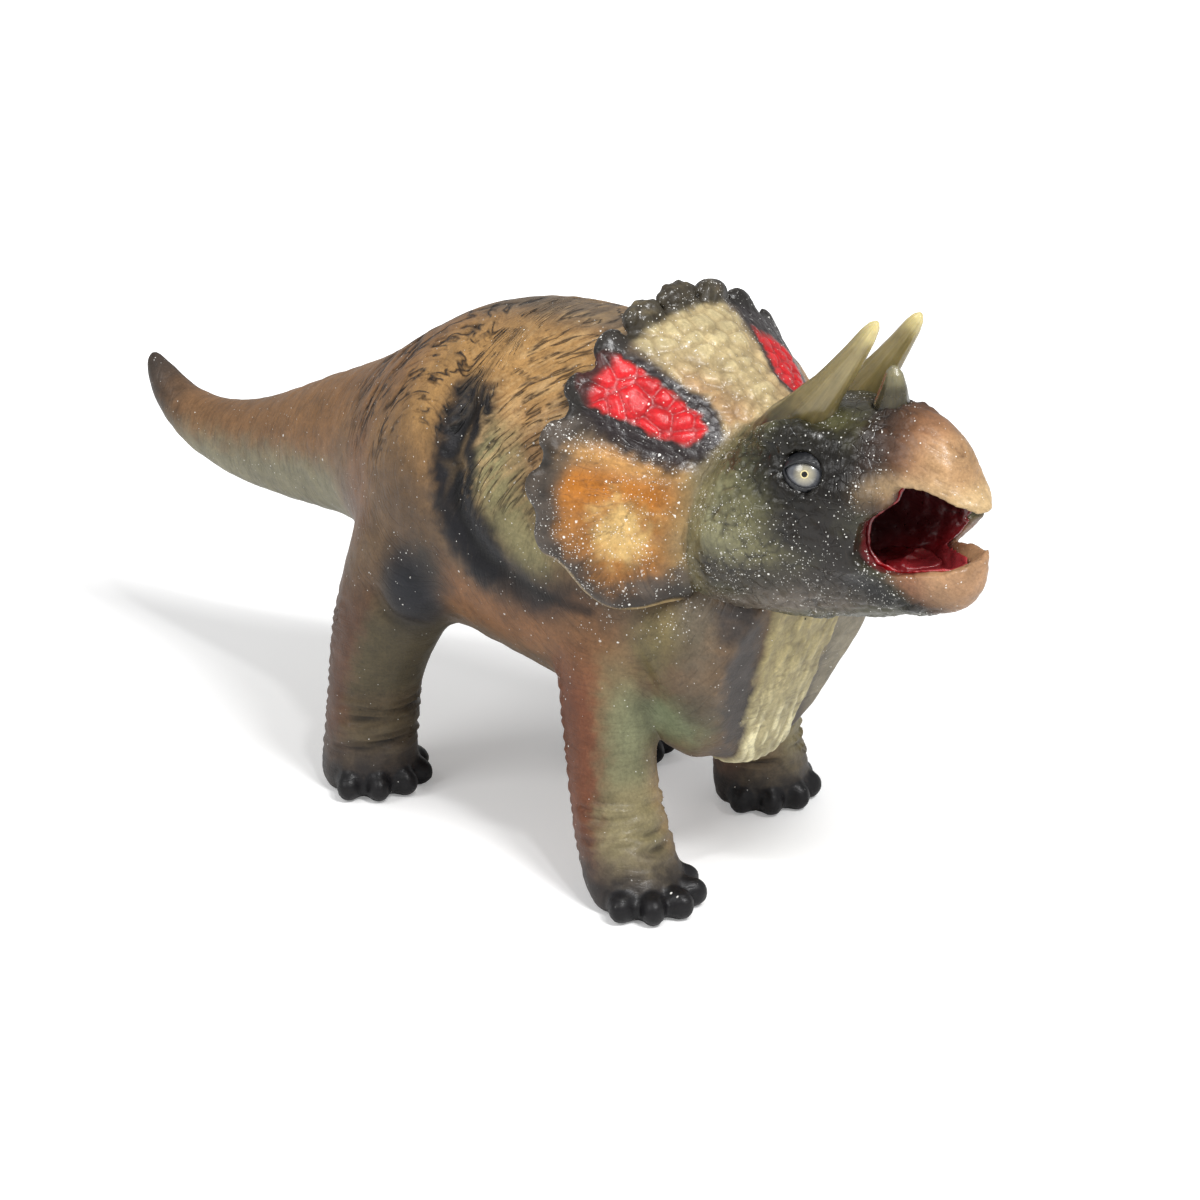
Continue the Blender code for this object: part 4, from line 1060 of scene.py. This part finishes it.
def build_horns():
    horn = horn_material("horn_yellow_rubber", 0.28)
    dark = horn_material("nose_horn_rubber", 0.22)
    colours = (
        "35311f",
        ("564e30", 0.12, 0.26),
        ("7f7148", 0.24, 0.42),
        ("948557", 0.45, 0.75),
        ("d2c388", 0.80, 1.0),
    )
    radii = (
        (0, 9.4),
        (0.14, 9.2),
        (0.3, 7.4),
        (0.5, 5.4),
        (0.72, 3.9),
        (0.9, 2.8),
        (0.97, 1.9),
        (1, 0.8),
    )
    for seed, (name, (root, tip)) in enumerate(BROW_HORNS.items()):
        build_horn(name, root, tip, radii, 0.86, -1.2, colours, seed * 7.7, horn, "horn_yellow")
    radii = ((0, 7.4), (0.25, 6.6), (0.5, 5.0), (0.75, 3.6), (0.9, 2.6), (1, 1.0))
    colours = ("211e19", ("4a4534", 0.30, 0.55), ("8a8466", 0.6, 1.0))
    build_horn("nose_horn", *NOSE_HORN, radii, 0.9, -0.5, colours, 3.3, dark, "nose_horn_grey")


# Eyes


def eye_material():
    graph = Graph("eye_paint")
    reach = graph.value("Reach")
    rays = graph.grain(300, 3, 0.6, graph.value("Flow"), 3.0)
    colour = graph.blend("MIX", graph.spread(reach, 1.7, 3.8), rgba("a39c86"), rgba("5d5f64"))
    colour = graph.blend("MULTIPLY", 0.8, colour, graph.spread(rays, 0.3, 0.7, 0.72, 1.15))
    colour = graph.blend("MIX", graph.spread(reach, 1.35, 1.05), colour, rgba("e8d9a0"))
    colour = graph.blend("MIX", graph.spread(reach, 1.00, 0.80), colour, rgba("07070a"))
    colour = graph.blend("MIX", graph.spread(reach, 4.6, 6.0), colour, rgba("22252b"))
    return graph.finish(
        Base_Color=colour,
        Roughness=graph.spread(rays, 0.2, 0.8, 0.16, 0.28),
        Normal=graph.bump(rays, 0.05, 0.5),
        Coat_Weight=1.0,
        Coat_Roughness=0.03,
    )


def almond(across, up, wide, upper, lower):
    """Reach of an opening with two pointed corners, in the direction given by a unit vector."""
    high = upper if up > 0 else lower
    steep = high * across * across / wide**2
    if steep < 1e-6:
        return high / abs(up)
    return (math.sqrt(up * up + 4 * high * steep) - abs(up)) / (2 * steep)


def build_eyes():
    iris = eye_material()
    lids = painted_material("lid_paint", 0.45, 0.35, 0.25, 700)
    for name, side in (("eye_left", 1), ("eye_right", -1)):
        low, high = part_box(name)
        centre = (low + high) / 2 / MM
        axis = Vector((0.50, side * 0.80, 0.32)).normalized()
        forward = Vector((0.80, -side * 0.45, -0.12))
        forward = (forward - axis * forward.dot(axis)).normalized()
        upward = axis.cross(forward)
        upward *= math.copysign(1, upward.z)
        form = bmesh.new()
        bmesh.ops.create_uvsphere(form, u_segments=64, v_segments=48, radius=EYE_RADIUS * MM)
        turn = axis.to_track_quat("Z", "Y").to_matrix().to_4x4()
        bmesh.ops.transform(form, matrix=Matrix.Translation(centre * MM) @ turn, verts=form.verts)
        skin = Skin(add_piece(name + "_dressed", form))
        ray = skin.at - np.array(centre)
        depth = ray @ np.array(axis)
        flat = ray - depth[:, None] * np.array(axis)
        skin.attribute("Reach", np.where(depth > 0, np.linalg.norm(flat, axis=1), EYE_RADIUS))
        angle = np.arctan2(flat @ np.array(upward), flat @ np.array(forward))
        skin.attribute("Flow", np.cos(angle * 2) * 2)
        dress(skin.piece, iris, (name,))

        # Lids: a shell over the ball with an almond opening
        around, rows = 96, 12
        loops = []
        for row in range(2 * rows):
            outer = row >= rows
            t = (2 * rows - 1 - row if outer else row) / (rows - 1)
            loop = []
            for k in range(around):
                a = 2 * math.pi * k / around
                c, s = math.cos(a), math.sin(a)
                opening = math.radians(almond(c, s, 60, 25, 31))
                spread = opening + (math.radians(82) - opening) * t
                aim = axis * math.cos(spread) + (forward * c + upward * s) * math.sin(spread)
                lift = 0.75 + 0.5 * max(s, 0) + 0.2 * noise.noise(aim * 9) - 0.8 * t * t
                loop.append(centre + aim * (EYE_RADIUS + (lift if outer else 0.05 - 0.8 * t)))
            loops.append(loop)
        skin = Skin(shell(name + "_lids", loops, ends=False))
        skin.attribute("Paint", np.tile(linear("15161a"), (skin.count, 1)))
        dress(skin.piece, lids)


# Mouth


def build_mouth():
    skin = dense_skin("mouth_lining_dressed", ("mouth_lining",), MOUTH_VOXEL)
    skin.relax(6, 0.5)
    x, _, z = skin.folded().T
    rim = np.clip(1 - skin.nearest(("head_skin",))[1] / 0.9, 0, 1)
    brush = Airbrush(skin, "84191f")
    brush.mix("8f2c31", ramp(x, 154, 172) * (1 - ramp(z, 126, 134)))
    # Darker on the palate and towards the back of the mouth: painted shade inside the mouth.
    brush.mix("5e2025", ramp(z, 132, 142) * 0.95)
    brush.mix("3a1214", (1 - ramp(x + 0.6 * (128 - z), 142, 160)) * 0.9)
    brush.mix("cf1f28", rim * ramp(x, 150, 158) * 0.9)
    move_mouth(skin)
    skin.push(0.6 * waves(skin.at, 3.4, 1.1) + 0.15 * waves(skin.at, 1.2, 5.5))
    skin.attribute("Paint", brush.paint)
    material = painted_material("mouth_paint", 0.3, 0.9, 0.3, 400)
    dress(skin.piece, material, ("mouth_lining",))


# Filling


def build_filling():
    fibre = fibre_material()
    for node in STUFFED_NODES:
        skin = dense_skin(node + "_dressed", (node,), FIBRE_VOXEL)
        skin.relax(3, 0.4)
        skin.push(0.35 * (waves(skin.at, 9.0, 2.0) + 0.5 * waves(skin.at, 4.0, 6.0)) - 0.2)
        if node == "torso_stuffing":
            flatten_chest(skin, np.ones(skin.count), 5.0)
        dress(skin.piece, fibre, (node,))


def build_patch():
    low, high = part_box("filling_patch")
    middle = (low + high) / 2 / MM
    radius = (high.x - low.x) / 2 / MM
    patch, _ = tree_of(("filling_patch",))
    rings = ((0.02, 0.55), (0.3, 0.6), (0.6, 0.55), (0.85, 0.5), (0.94, 0.25), (1.0, -0.2))
    loops = []
    for share, drop in (*rings, *((share, -1.4) for share, _ in reversed(rings))):
        loop = []
        for k in range(64):
            angle = 2 * math.pi * k / 64
            spot = Vector((math.cos(angle), math.sin(angle), 0)) * radius * share
            start = Vector((middle.x + spot.x * 0.97, spot.y * 0.97, 0))
            level = patch.ray_cast(start, Vector((0, 0, 1)))[0].z
            loop.append(Vector((middle.x + spot.x, spot.y, level - drop)))
        loops.append(loop)
    skin = Skin(shell("filling_patch_dressed", loops, ends=False))
    skin.attribute("Paint", np.tile(linear("77694f"), (skin.count, 1)))
    material = painted_material("patch_paint", 0.5, 0.1, 0.4, 400)
    dress(skin.piece, material, ("filling_patch",))


build_body()
build_head()
build_horns()
build_eyes()
build_mouth()
build_filling()
build_patch()

# Floor, light and camera

VIEW_AZIMUTH = 43
VIEW_ELEVATION = 22
VIEW_DISTANCE = 1.3
VIEW_TARGET = Vector((0.045305, -0.0122, 0.080))
VIEW_LENS = 122.85
SENSOR_WIDTH = 36.0
FLOOR_SIZE = 40.0


def toward(azimuth, elevation):
    """Unit vector from the toy to a place round it."""
    a, e = math.radians(azimuth), math.radians(elevation)
    return Vector((math.sin(a) * math.cos(e), -math.cos(a) * math.cos(e), math.sin(e)))


def paper_material():
    """White paper that keeps the shadow near the toy and turns plain white further out."""
    graph = Graph("paper_floor")
    seen = graph.node("ShaderNodeLightPath").outputs["Is Camera Ray"]
    reach = graph.node("ShaderNodeVectorMath", {0: graph.place}, operation="LENGTH").outputs["Value"]
    glow = graph.spread(reach, 0.22, 0.75, 0.22, 1.0)
    return graph.finish(
        Base_Color=(0.9, 0.9, 0.9, 1),
        Roughness=1.0,
        Specular_IOR_Level=0.0,
        Emission_Color=(1, 1, 1, 1),
        Emission_Strength=graph.math("MULTIPLY", glow, seen),
    )


def build_studio():
    world = bpy.data.worlds.new("studio")
    world.use_nodes = True
    bpy.context.scene.world = world
    tree = world.node_tree
    tree.nodes.clear()
    dim = tree.nodes.new("ShaderNodeBackground")
    dim.inputs["Color"].default_value = (1, 1, 1, 1)
    dim.inputs["Strength"].default_value = 0.45
    white = tree.nodes.new("ShaderNodeBackground")
    white.inputs["Color"].default_value = (1, 1, 1, 1)
    white.inputs["Strength"].default_value = 1.0
    mix = tree.nodes.new("ShaderNodeMixShader")
    path = tree.nodes.new("ShaderNodeLightPath")
    tree.links.new(path.outputs["Is Camera Ray"], mix.inputs[0])
    tree.links.new(dim.outputs[0], mix.inputs[1])
    tree.links.new(white.outputs[0], mix.inputs[2])
    end = tree.nodes.new("ShaderNodeOutputWorld")
    tree.links.new(mix.outputs[0], end.inputs["Surface"])

    half = FLOOR_SIZE / 2
    corners = [(-half, -half, 0), (half, -half, 0), (half, half, 0), (-half, half, 0)]
    mesh = bpy.data.meshes.new("floor")
    mesh.from_pydata(corners, [], [(0, 1, 2, 3)])
    floor = add_object("floor", mesh)
    mesh.materials.append(paper_material())

    lamps = (
        ("key", 80, 50, 2.2, 0.6, 36.0),
        ("fill", -10, 40, 2.4, 1.2, 16.0),
        ("spark", 62, 62, 2.0, 0.12, 6.0),
    )
    for name, azimuth, elevation, distance, size, power in lamps:
        light = bpy.data.lights.new(name, "AREA")
        light.shape = "DISK"
        light.size = size
        light.energy = power
        lamp = add_object(name, light)
        aim = toward(azimuth, elevation)
        lamp.location = VIEW_TARGET + aim * distance
        lamp.rotation_euler = aim.to_track_quat("Z", "Y").to_euler()


def build_camera():
    back = toward(VIEW_AZIMUTH, VIEW_ELEVATION)
    across = toward(VIEW_AZIMUTH + 90, 0)
    data = bpy.data.cameras.new("camera")
    data.lens = VIEW_LENS
    data.sensor_width = SENSOR_WIDTH
    data.clip_end = 100
    camera = add_object("camera", data)
    turn = Matrix((across, back.cross(across), back)).transposed().to_4x4()
    camera.matrix_world = Matrix.Translation(VIEW_TARGET + back * VIEW_DISTANCE) @ turn
    bpy.context.scene.camera = camera


build_studio()
build_camera()
bpy.context.scene.view_settings.view_transform = "Standard"
